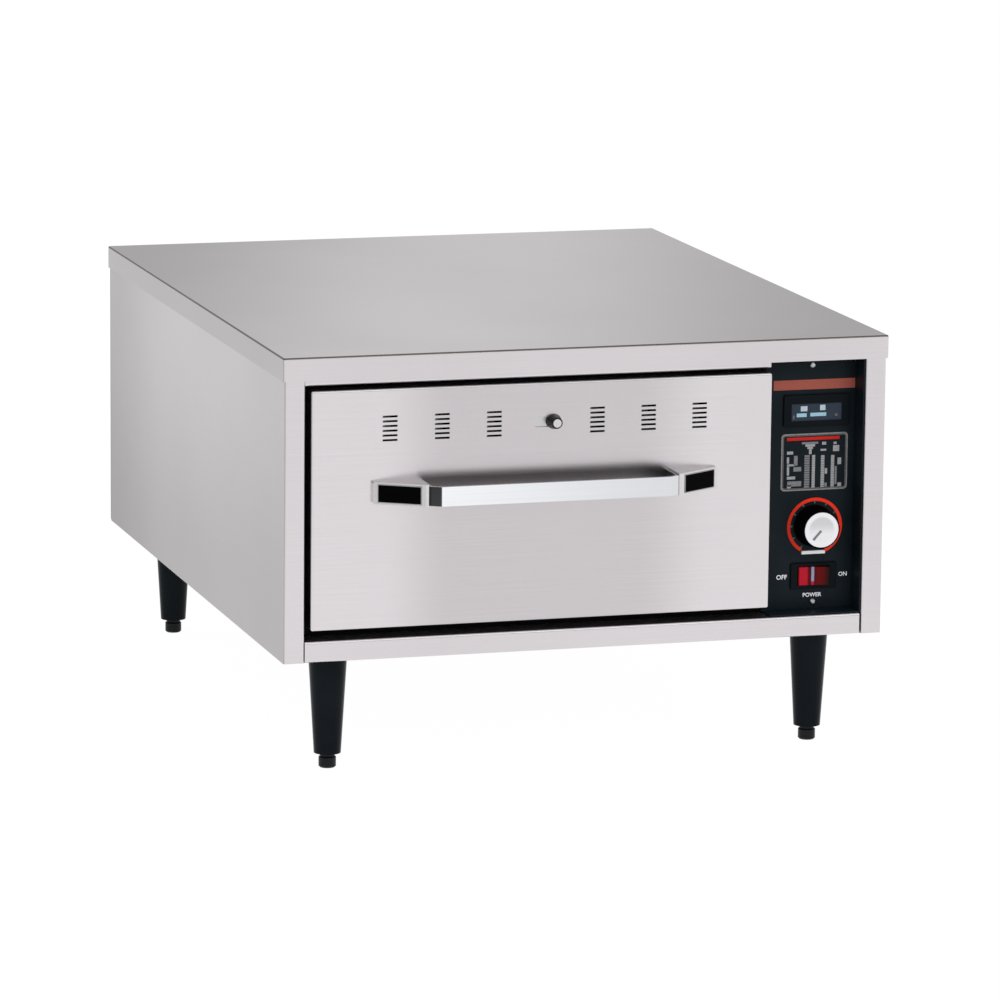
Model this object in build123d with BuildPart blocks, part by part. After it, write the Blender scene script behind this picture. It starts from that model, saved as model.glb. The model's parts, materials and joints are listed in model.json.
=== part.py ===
"""Narrow free-standing warming drawer, in millimetres.

An insulated steel cabinet on four adjustable legs holds one deep pan drawer on roller slides.
The drawer front carries a strap handle and a sliding vent. The controls sit in a recess to
the right of the drawer. +X is the right side seen from the front, the front faces -Y, +Z is
up, and the origin is on the floor under the middle of the bounding box.
"""
from build123d import *
from math import cos, radians, sin
import os

os.makedirs("parts", exist_ok=True)

# ---------------------------------------------------------------- driving dimensions
# Cabinet
cabinet_width = 572.0  # over the lid
cabinet_depth = 700.0  # over the lid
cabinet_height = 278.5  # underside of the cabinet to the top of the lid
leg_length = 108.0  # floor to the underside of the cabinet
skin = 1.2  # outer sheet
bend = 1.8  # radius of a fold, on the sheet's centre line
skirt_height = 21.4
lid_overhang = 1.5  # the lid stands this far outside the panels
lid_fit = 0.3  # panels to the inside of the lid
column_width = 19.5  # front flange of a side panel
rail_height = 19.4  # face of the bottom rail
service_seam = 1.6  # bottom rail to the removable right side panel
rear_flange = 22.0  # flange of a side panel behind the cabinet
recess = 26.5  # drawer face to the oven face and the control panel
rail_setback = 3.0  # top rail behind the columns, under the lid's skirt
base_upstand = 18.0

# Drawer front
control_bay = 91.0  # drawer front to the right column
header = 27.3  # top of the lid to the underside of the top rail
side_gap = 5.0  # left column to the drawer front
bottom_gap = 9.6  # bottom rail to the drawer front
top_gap = 3.8  # drawer front to the top rail
inner_sheet = 1.0  # liner and inner panel
drawer_seat = 1.0  # closed drawer to the oven face
panel_inset = 1.4  # inner panel inside the edge of the drawer front

# Oven
cavity_side = 20.0  # edge of the drawer front to the cavity's side wall
cavity_lap = 4.0  # drawer front beyond the cavity above and below
rear_batt = 33.5  # insulation behind the oven
divider_gap = 1.3  # drawer front to the wall of the control compartment
batt_fit = 0.3  # insulation to the sheets round it

# Vents in the drawer front
vent_pitch = 48.6
vent_groups = 3  # each side of the middle
vent_slots = 6
vent_slot_width = 14.2
vent_slot_height = 1.9
vent_slot_pitch = 4.3
vent_below_top = 36.0  # middle of the vents under the top of the drawer front
front_shift = 1.4  # middle of the vents and the handle, right of the drawer's middle
vent_knob_slot_length = 25.0
vent_knob_slot_height = 9.4
vent_knob_fit = 0.3  # stem in its slot
vent_knob_base = 7.0
vent_knob_tip = 5.0
vent_knob_reach = 11.0
vent_plate = 1.0
vent_plate_margin = 5.0
vent_plate_fit = 0.4
vent_lead = 1.0  # windows right of the slots, with the knob at its right stop

# Handle
handle_below_top = 93.4
handle_reach = 37.0  # front of the strap to the drawer face
handle_half = 162.3  # middle to the outer tip of a bracket
ridge_half = 120.0  # middle to the ridge of a bracket
ridge_reach = 30.0
tip_reach = 4.5
bracket_height = 20.0
strap_half = 107.0  # flat part of the strap
strap_shoulder = 117.6  # outside of the strap's legs
strap_height = 17.6
strap = 3.0
label_length = 41.0
label_height = 17.0
label_sheet = 0.8
label_pocket = 0.5
screw_radius = 2.0
screw_fit = 0.1
handle_screw_half = 134.0
handle_screw_pitch = 9.0
handle_screw_depth = 9.0

# Roller slides
axle_drop = 29.0  # pan seat to the roller axles
roller_radius = 12.0
roller_play = 0.15  # roller to the flange it runs on
roller_width = 8.0
support_roller_width = 16.0
roller_side_play = 1.0
roller_bore_fit = 0.05
axle_radius = 3.0
rail_sheet = 1.5
rail_flange_width = 11.5
rail_side_gap = 0.8  # between the flanges of the two rails
slide_space = 21.5  # cavity wall to the drawer frame
rail_start = 5.0  # oven face to the front end of a cabinet rail
rail_end = 4.0  # rear end of a cabinet rail to the cavity's rear wall
support_roller_setback = 17.0  # oven face to the front roller

# Pan and its frame
frame_seat = 13.0  # edge of the drawer frame to the pan's rim
pan_rear_space = 95.0  # rim to the rear wall of the cavity
pan_under_space = 42.2  # cavity floor to the pan
pan_rim = 10.0
pan_lip = 4.2
pan_sheet = 1.0
pan_corner = 45.0
pan_bottom_radius = 18.0
pan_draft = 3.0
pan_front_gap = 9.0  # inner panel to the rim
frame_drop = 23.0  # cavity roof to the pan's seat
frame_skirt = 46.0
frame_sheet = 1.5
frame_fit = 2.5  # pan body to the frame's opening
frame_tail = 26.0  # rear edge of the rim to the cross member

# Heating element
element_radius = 4.0
element_height = 15.0  # axis above the cavity floor
element_bend = 38.0
element_margin = 95.0  # cavity walls to the loop
element_end_pitch = 44.0
terminal_radius = 1.6
terminal_length = 12.0
bushing_radius = 8.0
bushing_length = 5.0
bore_margin = 0.3

# Thermostat, its bulb and knob
control_axis = 39.0  # middle of the controls from the right column
knob_height = 98.5  # above the underside of the cabinet
knob_base = 19.5
knob_top = 17.6
knob_reach = 21.6
knob_cap_radius = 16.4
knob_cap = 1.2
knob_gap = 0.4
knob_flutes = 24
flute_radius = 1.3
flute_centre = 18.6
shaft_radius = 3.0
shaft_fit = 0.05
bushing_thread = 5.0
thermostat_width = 44.0
thermostat_height = 40.0
thermostat_depth = 38.0
bulb_radius = 3.2
bulb_length = 90.0
bulb_height = 81.0  # above the cavity floor
bulb_wall_gap = 2.8
bulb_start = 272.0  # behind the oven face
capillary_radius = 1.0
capillary_bend = 5.0

# Display, power switch and panel
panel_sheet = 1.5
display_drop = 71.7  # under the top of the lid
display_size = (63.8, 29.6)
lcd_size = (49.0, 16.0)
lcd_drop = 1.6
bezel_reach = 2.5
bezel_radius = 2.0
window_sheet = 1.5
display_depth = 26.0
switch_height = 52.0  # above the underside of the cabinet
switch_size = (44.4, 23.9)
rocker_size = (31.6, 17.6)
rocker_gap = 0.4
rocker_reach = 4.5  # ends of the key in front of its pivot
rocker_valley = 1.5
rocker_depth = 8.0  # behind its pivot
rocker_tilt = 8.0  # degrees either way
rocker_pin_radius = 0.9
rocker_pin_length = 1.5  # into the housing at each end
rocker_pin_fit = 0.05
switch_depth = 24.0
tab_size = (0.8, 8.0, 6.3)
tab_pitch = 10.0
upper_screw_drop = 29.5
upper_screw_shift = 4.2  # left of the controls
lower_screw_height = 27.5
panel_screw_radius = 1.4
panel_screw_head_radius = 2.5
screw_head_radius = 3.6
screw_head = 2.2

# Legs
leg_side_inset = 55.0
leg_end_inset = 49.0
leg_top_radius = 17.6
leg_tip_radius = 12.4
leg_collar = 6.0
foot_radius = 8.0
foot_neck_radius = 6.8
foot_height = 10.6
foot_clearance = 0.3
leg_tip_height = 13.6
stem_radius = 5.0
stem_fit = 0.05
stem_length = 40.0
foot_travel = 20.0
stud_radius = 4.8
stud_fit = 0.1
leg_plate = 3.0
leg_plate_size = 50.0

# Rear inlet, terminals and fasteners
gland_side_inset = 56.0
gland_height = 57.0  # above the underside of the cabinet
gland_bore = 5.0
gland_thread = 8.0
gland_hex = 11.0
gland_reach = 22.0
locknut_thickness = 5.0
terminal_block_size = (46.0, 24.0, 20.0)
terminal_ways = 4
rear_screw_inset = 11.0
rear_screw_end = 34.0  # outer screws to the ends of the back panel
louvre_count = 7
louvre_pitch = 9.0
louvre_size = (52.0, 3.0)

# ---------------------------------------------------------------- derived places
gland_overhang = gland_reach - lid_overhang
front = (handle_reach - cabinet_depth - gland_overhang) / 2  # drawer face and lid edge
frame_face = front + lid_overhang
rear_face = front + cabinet_depth - lid_overhang
oven_face = front + recess
panel_x = cabinet_width / 2 - lid_overhang
opening_x = panel_x - column_width
lid_top = leg_length + cabinet_height
lid_under = lid_top - skin
panel_top = lid_under - lid_fit
rail_top = leg_length + rail_height
floor_top = leg_length + skin

drawer_width = 2 * opening_x - side_gap - control_bay
drawer_height = cabinet_height - rail_height - bottom_gap - top_gap - header
drawer_x = side_gap - opening_x + drawer_width / 2
drawer_right = drawer_x + drawer_width / 2
drawer_bottom = rail_top + bottom_gap
drawer_top = drawer_bottom + drawer_height
drawer_z = drawer_bottom + drawer_height / 2
top_rail_bottom = drawer_top + top_gap
inner_face = oven_face - drawer_seat  # rear of the drawer front
inner_front = inner_face - inner_sheet
divider_x = drawer_right + divider_gap

base_rear = rear_face - 2 * skin - bend
cavity_x = drawer_x
cavity_width = drawer_width - 2 * cavity_side
cavity_right = cavity_x + cavity_width / 2
cavity_z = drawer_bottom + cavity_lap
cavity_top = drawer_top - cavity_lap
cavity_rear = base_rear - rear_batt - batt_fit - inner_sheet
liner_outer_right = cavity_right + inner_sheet

handle_x = drawer_x + front_shift
vent_z = drawer_top - vent_below_top
vent_height = (vent_slots - 1) * vent_slot_pitch + vent_slot_height
vent_stem = vent_knob_slot_height / 2 - vent_knob_fit
vent_travel = vent_knob_slot_length - vent_knob_slot_height - vent_knob_fit
vent_knob_x = handle_x + vent_travel / 2
vent_centres = [
    handle_x + side * step * vent_pitch
    for side in (-1, 1)
    for step in range(1, vent_groups + 1)
]
handle_z = drawer_top - handle_below_top

seat_z = cavity_top - frame_drop
axle_z = seat_z - axle_drop
rail_half = roller_radius + roller_play + rail_sheet / 2  # axle to a flange's middle
support_roller_y = oven_face + support_roller_setback
rail_front = oven_face + rail_start
rail_rear = cavity_rear - rail_end
drawer_roller_y = rail_rear - roller_radius - rail_sheet
frame_half = cavity_width / 2 - slide_space
pan_width = 2 * (frame_half - frame_seat)
pan_front = inner_face + pan_front_gap
pan_length = cavity_rear - pan_rear_space - pan_front
pan_y = pan_front + pan_length / 2
pan_top = seat_z + pan_lip
pan_depth = pan_top - cavity_z - pan_under_space
drawer_travel = pan_length
frame_rear = pan_front + pan_length + frame_tail

control_x = opening_x - control_axis
panel_screw_places = (
    (control_x - upper_screw_shift, lid_top - upper_screw_drop),
    (control_x, leg_length + lower_screw_height),
)
panel_back = oven_face + panel_sheet
knob_z = leg_length + knob_height
display_z = lid_top - display_drop
switch_z = leg_length + switch_height
bulb_x = cavity_right - bulb_wall_gap - bulb_radius
bulb_z = cavity_z + bulb_height
capillary_x = control_x + thermostat_width / 4
capillary_turn_y = oven_face + bulb_start - 2.5 * capillary_bend

element_z = cavity_z + element_height
element_left = cavity_x - cavity_width / 2 + element_margin
element_inner = cavity_right - element_margin
element_front = oven_face + element_margin
element_rear = cavity_rear - element_margin / 2
element_end_x = divider_x + skin + bushing_length + terminal_length
element_ends = (element_rear, element_rear - element_end_pitch)

leg_x = cabinet_width / 2 - leg_side_inset
leg_y = (front + leg_end_inset, front + cabinet_depth - leg_end_inset)
gland_x = panel_x - gland_side_inset
gland_z = leg_length + gland_height


# ---------------------------------------------------------------- shared shapes
def folded(points, thickness=skin, radius=bend):
    """Section of a folded sheet: a centre line with rounded bends, as thick as the sheet."""
    with BuildSketch() as section:
        with BuildLine():
            FilletPolyline(*points, radius=radius)
        trace(line_width=thickness)
    return section.sketch


def save(piece, name):
    """Name a finished piece and write it as its own file."""
    piece.part.label = name
    export_step(piece.part, f"parts/{name}.step")


def slide_x(side, inset):
    """X of a point in a slide, a distance inward from the cavity's side wall."""
    return cavity_x + side * (cavity_width / 2 - inset)


# ---------------------------------------------------------------- cabinet shell
with BuildPart() as top_cover:
    with BuildSketch(Plane.XY.offset(lid_top - skirt_height)):
        with Locations((0, front + cabinet_depth / 2)):
            Rectangle(cabinet_width, cabinet_depth)
    extrude(amount=skirt_height)
    fillet(top_cover.edges().filter_by(Axis.Z), radius=bend)
    fillet(top_cover.faces().sort_by(Axis.Z)[-1].edges(), radius=bend)
    offset(amount=-skin, openings=top_cover.faces().sort_by(Axis.Z)[0])
save(top_cover, "top_cover")

for side, name in ((-1, "left"), (1, "right")):
    half = skin / 2
    with BuildPart() as side_panel:
        with BuildSketch(Plane.XY.offset(leg_length)):
            add(
                folded(
                    [
                        (side * (opening_x + half), oven_face - lid_fit),
                        (side * (opening_x + half), frame_face + half),
                        (side * (panel_x - half), frame_face + half),
                        (side * (panel_x - half), rear_face - skin - half),
                        (side * (panel_x - rear_flange), rear_face - skin - half),
                    ]
                )
            )
        extrude(amount=panel_top - leg_length)
    save(side_panel, f"{name}_side_panel")

with BuildPart() as bottom_rail:
    with BuildSketch(Plane.YZ.offset(-opening_x)):
        add(
            folded(
                [
                    (oven_face - lid_fit, leg_length + skin / 2),
                    (frame_face + skin / 2, leg_length + skin / 2),
                    (frame_face + skin / 2, rail_top - skin / 2),
                    (oven_face + inner_sheet, rail_top - skin / 2),
                ]
            )
        )
    extrude(amount=2 * opening_x - service_seam)
save(bottom_rail, "bottom_rail")

rail_face = frame_face + rail_setback
with BuildPart() as top_rail:
    with BuildSketch(Plane.YZ.offset(-opening_x)):
        add(
            folded(
                [
                    (oven_face - lid_fit, top_rail_bottom + skin / 2),
                    (rail_face + skin / 2, top_rail_bottom + skin / 2),
                    (rail_face + skin / 2, panel_top - skin / 2),
                    (oven_face - lid_fit, panel_top - skin / 2),
                ]
            )
        )
    extrude(amount=drawer_right + opening_x)
    # The right end is folded back as a closed cap.
    with BuildSketch(Plane.YZ.offset(drawer_right - skin)):
        with BuildLine():
            Polyline(
                (rail_face + bend, top_rail_bottom + skin / 2),
                (oven_face - lid_fit, top_rail_bottom + skin / 2),
                (oven_face - lid_fit, panel_top - skin / 2),
                (rail_face + bend, panel_top - skin / 2),
                (rail_face + skin / 2, panel_top - bend),
                (rail_face + skin / 2, top_rail_bottom + bend),
                close=True,
            )
        make_face()
    extrude(amount=skin)
save(top_rail, "top_rail")

base_half = panel_x - skin - lid_fit
base_front = oven_face
leg_places = [(side * leg_x, y) for y in leg_y for side in (-1, 1)]
with BuildPart() as base_pan:
    with BuildSketch(Plane.XZ.offset(-base_front)):
        add(
            folded(
                [
                    (-base_half + skin / 2, leg_length + base_upstand),
                    (-base_half + skin / 2, leg_length + skin / 2),
                    (base_half - skin / 2, leg_length + skin / 2),
                    (base_half - skin / 2, leg_length + base_upstand),
                ]
            )
        )
    extrude(amount=base_front - base_rear)
    with Locations(*[(x, y, floor_top) for x, y in leg_places]):
        Hole(radius=stud_radius + stud_fit, depth=skin)
save(base_pan, "base_pan")

back_height = panel_top - floor_top
rear_screw_pitch = (2 * (panel_x - rear_screw_inset), back_height / 2 - rear_screw_end)
with BuildPart() as back_panel:
    with BuildSketch(Plane.XZ.offset(-rear_face)):
        with Locations((0, floor_top + back_height / 2)):
            Rectangle(2 * (panel_x - lid_fit), back_height)
        with Locations((gland_x, gland_z)):
            Circle(gland_thread + screw_fit, mode=Mode.SUBTRACT)
        # Louvres let warm air out of the control compartment.
        with Locations((gland_x, display_z)):
            with GridLocations(louvre_pitch, louvre_pitch, 1, louvre_count):
                Rectangle(*louvre_size, mode=Mode.SUBTRACT)
        with Locations((0, floor_top + back_height / 2)):
            with GridLocations(*rear_screw_pitch, 2, 3):
                Circle(screw_radius + screw_fit, mode=Mode.SUBTRACT)
    extrude(amount=skin)
save(back_panel, "back_panel")

with BuildPart() as back_screws:
    with BuildSketch(Plane.XZ.offset(-rear_face)):
        with Locations((0, floor_top + back_height / 2)):
            with GridLocations(*rear_screw_pitch, 2, 3):
                Circle(screw_head_radius)
    extrude(amount=-screw_head)
    chamfer(back_screws.faces().sort_by(Axis.Y)[-1].edges(), length=screw_head / 3)
save(back_screws, "back_screws")

# ---------------------------------------------------------------- oven
flange_left = -panel_x + skin + lid_fit + bend
flange_right = divider_x - batt_fit / 2
with BuildPart() as oven_liner:
    # Face flange round the mouth: it shows below and above the closed drawer.
    with BuildSketch(Plane.XZ.offset(-oven_face)):
        with Locations(((flange_left + flange_right) / 2, (rail_top + panel_top) / 2)):
            Rectangle(flange_right - flange_left, panel_top - rail_top)
    extrude(amount=-inner_sheet)
    with BuildSketch(Plane.XZ.offset(-oven_face - inner_sheet)):
        with Locations((cavity_x, (cavity_z + cavity_top) / 2)):
            Rectangle(cavity_width + 2 * inner_sheet, cavity_top - cavity_z + 2 * inner_sheet)
    extrude(amount=oven_face - cavity_rear)
    with BuildSketch(Plane.XZ.offset(-oven_face)):
        with Locations((cavity_x, (cavity_z + cavity_top) / 2)):
            Rectangle(cavity_width, cavity_top - cavity_z)
    extrude(amount=oven_face - cavity_rear, mode=Mode.SUBTRACT)
    # Ways through the right wall for the element's ends and the thermostat's tube.
    with BuildSketch(Plane.YZ.offset(cavity_right)):
        with Locations(*[(y, element_z) for y in element_ends]):
            Circle(element_radius + bore_margin)
        with Locations((capillary_turn_y, bulb_z)):
            Circle(capillary_radius + bore_margin)
    extrude(amount=inner_sheet, mode=Mode.SUBTRACT)
save(oven_liner, "oven_liner")

with BuildPart() as compartment_divider:
    with BuildSketch(Plane.XZ.offset(-panel_back)):
        add(
            folded(
                [
                    (divider_x + skin / 2 + base_upstand, floor_top + skin / 2),
                    (divider_x + skin / 2, floor_top + skin / 2),
                    (divider_x + skin / 2, panel_top - skin / 2),
                ]
            )
        )
    extrude(amount=panel_back - base_rear)
    with BuildSketch(Plane.YZ.offset(divider_x)):
        with Locations(*[(y, element_z) for y in element_ends]):
            Circle(element_radius + bore_margin)
        with Locations((capillary_turn_y, bulb_z)):
            Circle(capillary_radius + bore_margin)
    extrude(amount=skin, mode=Mode.SUBTRACT)
save(compartment_divider, "compartment_divider")

batt_left = -base_half + skin + bend
batt_front = oven_face + inner_sheet + batt_fit
liner_left = cavity_x - cavity_width / 2 - inner_sheet
liner_rear = cavity_rear + inner_sheet
liner_under = cavity_z - inner_sheet
batts = {
    "left": ((batt_left, floor_top + batt_fit), (liner_left - batt_fit, panel_top - batt_fit)),
    "floor": (
        (liner_left, floor_top + batt_fit),
        (liner_outer_right, liner_under - batt_fit),
    ),
    "roof": (
        (liner_left, cavity_top + inner_sheet + batt_fit),
        (liner_outer_right, panel_top - batt_fit),
    ),
    "right": (
        (liner_outer_right + batt_fit, floor_top + batt_fit),
        (divider_x - batt_fit, panel_top - batt_fit),
    ),
}
with BuildPart() as oven_insulation:
    # One batt on each side of the liner, cut to fit, and one behind it.
    for low, high in batts.values():
        with BuildSketch(Plane.XZ.offset(-batt_front)):
            with Locations(((low[0] + high[0]) / 2, (low[1] + high[1]) / 2)):
                Rectangle(high[0] - low[0], high[1] - low[1])
        extrude(amount=batt_front - liner_rear)
    with BuildSketch(Plane.XZ.offset(-liner_rear - batt_fit)):
        with Locations(((batt_left + divider_x - batt_fit) / 2, (floor_top + panel_top) / 2)):
            Rectangle(
                divider_x - batt_fit - batt_left,
                panel_top - floor_top - 2 * batt_fit,
            )
    extrude(amount=liner_rear + batt_fit - base_rear)
    with BuildSketch(Plane.YZ.offset(liner_outer_right)):
        with Locations(*[(y, element_z) for y in element_ends]):
            Circle(element_radius + bore_margin)
        with Locations((capillary_turn_y, bulb_z)):
            Circle(capillary_radius + bore_margin)
    extrude(amount=divider_x - liner_outer_right, mode=Mode.SUBTRACT)
    # Pockets over the leg plates and the ends of the leg studs.
    with BuildSketch(Plane.XY.offset(floor_top)):
        with Locations(*leg_places):
            Rectangle(leg_plate_size + 2 * batt_fit, leg_plate_size + 2 * batt_fit)
    extrude(amount=2 * leg_plate + 2 * batt_fit, mode=Mode.SUBTRACT)
save(oven_insulation, "oven_insulation")

with BuildPart() as heating_element:
    with BuildLine(Plane.XY.offset(element_z)):
        element_run = FilletPolyline(
            (element_end_x - terminal_length, element_ends[0]),
            (element_left, element_ends[0]),
            (element_left, element_front),
            (element_inner, element_front),
            (element_inner, element_ends[1]),
            (element_end_x - terminal_length, element_ends[1]),
            radius=element_bend,
        )
    with BuildSketch(Plane(origin=element_run @ 0, z_dir=element_run % 0)):
        Circle(element_radius)
    sweep()
    # Bare connection pins stand out of both ends.
    with BuildSketch(Plane.YZ.offset(element_end_x - terminal_length)):
        with Locations(*[(y, element_z) for y in element_ends]):
            Circle(terminal_radius)
    extrude(amount=terminal_length)
save(heating_element, "heating_element")

with BuildPart() as element_bushings:
    with BuildSketch(Plane.YZ.offset(divider_x + skin)):
        with Locations(*[(y, element_z) for y in element_ends]):
            RegularPolygon(radius=bushing_radius, side_count=6)
            Circle(element_radius + bore_margin, mode=Mode.SUBTRACT)
    extrude(amount=bushing_length)
save(element_bushings, "element_bushings")

bracket_rows = (element_front + 2 * element_bend, element_ends[1] - 2 * element_bend)
with BuildPart() as element_brackets:
    for row_y in bracket_rows:
        with BuildSketch(Plane.XZ.offset(-row_y)):
            for run_x in (element_left, element_inner):
                with Locations((run_x, cavity_z)):
                    Rectangle(
                        4 * element_radius,
                        element_height + 2 * element_radius,
                        align=(Align.CENTER, Align.MIN),
                    )
                with Locations((run_x, element_z)):
                    Circle(element_radius + bore_margin, mode=Mode.SUBTRACT)
        extrude(amount=-rail_sheet)
save(element_brackets, "element_brackets")

# ---------------------------------------------------------------- roller slides
for side, name in ((-1, "left"), (1, "right")):
    web = rail_sheet / 2
    with BuildPart() as cabinet_rail:
        # A channel open towards the drawer, riveted to the cavity wall.
        with BuildSketch(Plane.XZ.offset(-rail_front)):
            add(
                folded(
                    [
                        (slide_x(side, rail_flange_width), axle_z - rail_half),
                        (slide_x(side, web), axle_z - rail_half),
                        (slide_x(side, web), axle_z + rail_half),
                        (slide_x(side, rail_flange_width), axle_z + rail_half),
                    ],
                    thickness=rail_sheet,
                    radius=rail_sheet,
                )
            )
        extrude(amount=rail_front - rail_rear)
        # Axle of the front roller, with its riveted head.
        axle_plane = Plane(
            origin=(slide_x(side, 0), support_roller_y, axle_z), z_dir=(-side, 0, 0)
        )
        with BuildSketch(axle_plane):
            Circle(axle_radius)
        extrude(amount=rail_sheet + 2 * roller_side_play + support_roller_width)
        # Stop that meets the drawer's roller when the drawer is fully out.
        with BuildSketch(Plane.XY.offset(axle_z - rail_half)):
            stop_y = drawer_roller_y - drawer_travel - roller_radius - rail_sheet
            with Locations((slide_x(side, (rail_sheet + rail_flange_width) / 2), stop_y)):
                Rectangle(rail_flange_width - rail_sheet, rail_sheet)
        extrude(amount=roller_radius / 2)
    save(cabinet_rail, f"cabinet_rail_{name}")

    drawer_web = slide_space - rail_sheet / 2
    with BuildPart() as drawer_rail:
        # A channel open towards the wall: its upper flange runs on the front roller.
        with BuildSketch(Plane.XZ.offset(-inner_face)):
            add(
                folded(
                    [
                        (slide_x(side, rail_flange_width + rail_side_gap), axle_z - rail_half),
                        (slide_x(side, drawer_web), axle_z - rail_half),
                        (slide_x(side, drawer_web), axle_z + rail_half),
                        (slide_x(side, rail_flange_width + rail_side_gap), axle_z + rail_half),
                    ],
                    thickness=rail_sheet,
                    radius=rail_sheet,
                )
            )
        extrude(amount=inner_face - drawer_roller_y - roller_radius)
        axle_plane = Plane(
            origin=(slide_x(side, drawer_web), drawer_roller_y, axle_z), z_dir=(side, 0, 0)
        )
        with BuildSketch(axle_plane):
            Circle(axle_radius)
        extrude(amount=drawer_web - rail_sheet - roller_side_play / 2)
        # Shoulder that keeps the roller out in the cabinet's channel.
        shoulder = drawer_web - rail_sheet - 2 * roller_side_play - roller_width
        with BuildSketch(axle_plane):
            Circle(2 * axle_radius)
        extrude(amount=shoulder)
    save(drawer_rail, f"drawer_rail_{name}")

    with BuildPart() as cabinet_roller:
        roller_plane = Plane(
            origin=(slide_x(side, rail_sheet + roller_side_play), support_roller_y, axle_z),
            z_dir=(-side, 0, 0),
        )
        with BuildSketch(roller_plane):
            Circle(roller_radius)
            Circle(axle_radius + roller_bore_fit, mode=Mode.SUBTRACT)
        extrude(amount=support_roller_width)
    save(cabinet_roller, f"cabinet_roller_{name}")

    with BuildPart() as drawer_roller:
        roller_plane = Plane(
            origin=(slide_x(side, rail_sheet + roller_side_play), drawer_roller_y, axle_z),
            z_dir=(-side, 0, 0),
        )
        with BuildSketch(roller_plane):
            Circle(roller_radius)
            Circle(axle_radius + roller_bore_fit, mode=Mode.SUBTRACT)
        extrude(amount=roller_width)
    save(drawer_roller, f"drawer_roller_{name}")

# ---------------------------------------------------------------- drawer body
with BuildPart() as drawer_front:
    with BuildSketch(Plane.XZ.offset(-front)):
        with Locations((drawer_x, drawer_z)):
            Rectangle(drawer_width, drawer_height)
    extrude(amount=front - inner_front)
    fillet(drawer_front.edges().filter_by(Axis.Y), radius=bend)
    fillet(drawer_front.faces().sort_by(Axis.Y)[0].edges(), radius=bend)
    offset(amount=-skin, openings=drawer_front.faces().sort_by(Axis.Y)[-1])
    # Vent slots either side of the adjuster's slot.
    with BuildSketch(Plane.XZ.offset(-front)):
        for vent_x in vent_centres:
            with Locations((vent_x, vent_z)):
                with GridLocations(vent_slot_pitch, vent_slot_pitch, 1, vent_slots):
                    Rectangle(vent_slot_width, vent_slot_height)
        with Locations((handle_x, vent_z)):
            SlotOverall(vent_knob_slot_length, vent_knob_slot_height)
    extrude(amount=-skin, mode=Mode.SUBTRACT)
    with BuildSketch(Plane.XZ.offset(-front)):
        for side in (-1, 1):
            with Locations((handle_x + side * handle_screw_half, handle_z)):
                with GridLocations(handle_screw_pitch, handle_screw_pitch, 1, 2):
                    Circle(screw_radius + screw_fit)
    extrude(amount=-skin, mode=Mode.SUBTRACT)
save(drawer_front, "drawer_front")

with BuildPart() as drawer_inner_panel:
    with BuildSketch(Plane.XZ.offset(-inner_front)):
        with Locations((drawer_x, drawer_z)):
            Rectangle(drawer_width - 2 * panel_inset, drawer_height - 2 * panel_inset)
        for vent_x in vent_centres:
            with Locations((vent_x, vent_z)):
                Rectangle(vent_slot_width, vent_height, mode=Mode.SUBTRACT)
    extrude(amount=-inner_sheet)
save(drawer_inner_panel, "drawer_inner_panel")

guide_reach = vent_plate_fit + vent_plate + vent_plate_fit
plate_height = vent_height + 2 * vent_plate_margin
plate_top = vent_z + plate_height / 2
plate_bottom = vent_z - plate_height / 2
vent_reach = vent_groups * vent_pitch + vent_slot_width / 2
guide_half = vent_reach + vent_travel + vent_plate_margin
plate_front = front + skin + vent_plate_fit
with BuildPart() as vent_guides:
    # Two folded strips on the back of the drawer front hold the plate.
    for edge_z, away in ((plate_top, 1), (plate_bottom, -1)):
        root_z = edge_z + away * (vent_plate_fit + skin / 2)
        back_y = front + skin + guide_reach + skin / 2
        with BuildSketch(Plane.YZ.offset(handle_x - guide_half)):
            add(
                folded(
                    [
                        (front + skin, root_z),
                        (back_y, root_z),
                        (back_y, edge_z - away * vent_plate_margin / 2),
                    ],
                    radius=skin,
                )
            )
        extrude(amount=2 * guide_half)
save(vent_guides, "vent_guides")

with BuildPart() as drawer_insulation:
    batt_top = plate_bottom - 4 * vent_plate_margin
    with BuildSketch(Plane.XZ.offset(-front - skin - 2 * screw_head)):
        with Locations((drawer_x, (drawer_bottom + skin + batt_fit + batt_top) / 2)):
            Rectangle(
                drawer_width - 2 * skin - 2 * batt_fit,
                batt_top - drawer_bottom - skin - batt_fit,
            )
    extrude(amount=front + skin + 2 * screw_head - inner_front + batt_fit)
save(drawer_insulation, "drawer_insulation")

with BuildPart() as vent_slider:
    # A plate with one window behind each vent, shut when it has slid fully left.
    with BuildSketch(Plane.XZ.offset(-plate_front)):
        with Locations((handle_x + vent_lead - vent_reach - vent_plate_margin, vent_z)):
            Rectangle(
                2 * (vent_reach + vent_plate_margin) + vent_travel,
                plate_height,
                align=(Align.MIN, Align.CENTER),
            )
        for vent_x in vent_centres:
            with Locations((vent_x + vent_lead, vent_z)):
                Rectangle(vent_slot_width, vent_height, mode=Mode.SUBTRACT)
    extrude(amount=-vent_plate)
save(vent_slider, "vent_slider")

with BuildPart() as vent_knob:
    # A turned knob on a round stem that rides in the slot.
    knob_seat = front - vent_plate_fit
    with BuildSketch(Plane.XZ.offset(-plate_front)):
        with Locations((vent_knob_x, vent_z)):
            Circle(vent_stem)
    extrude(amount=plate_front - knob_seat)
    with BuildSketch(Plane.XZ.offset(-knob_seat)):
        with Locations((vent_knob_x, vent_z)):
            Circle(vent_knob_base)
    with BuildSketch(Plane.XZ.offset(vent_knob_reach - front)):
        with Locations((vent_knob_x, vent_z)):
            Circle(vent_knob_tip)
    loft()
    chamfer(vent_knob.faces().sort_by(Axis.Y)[0].edges(), length=skin)
save(vent_knob, "vent_knob")

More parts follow.
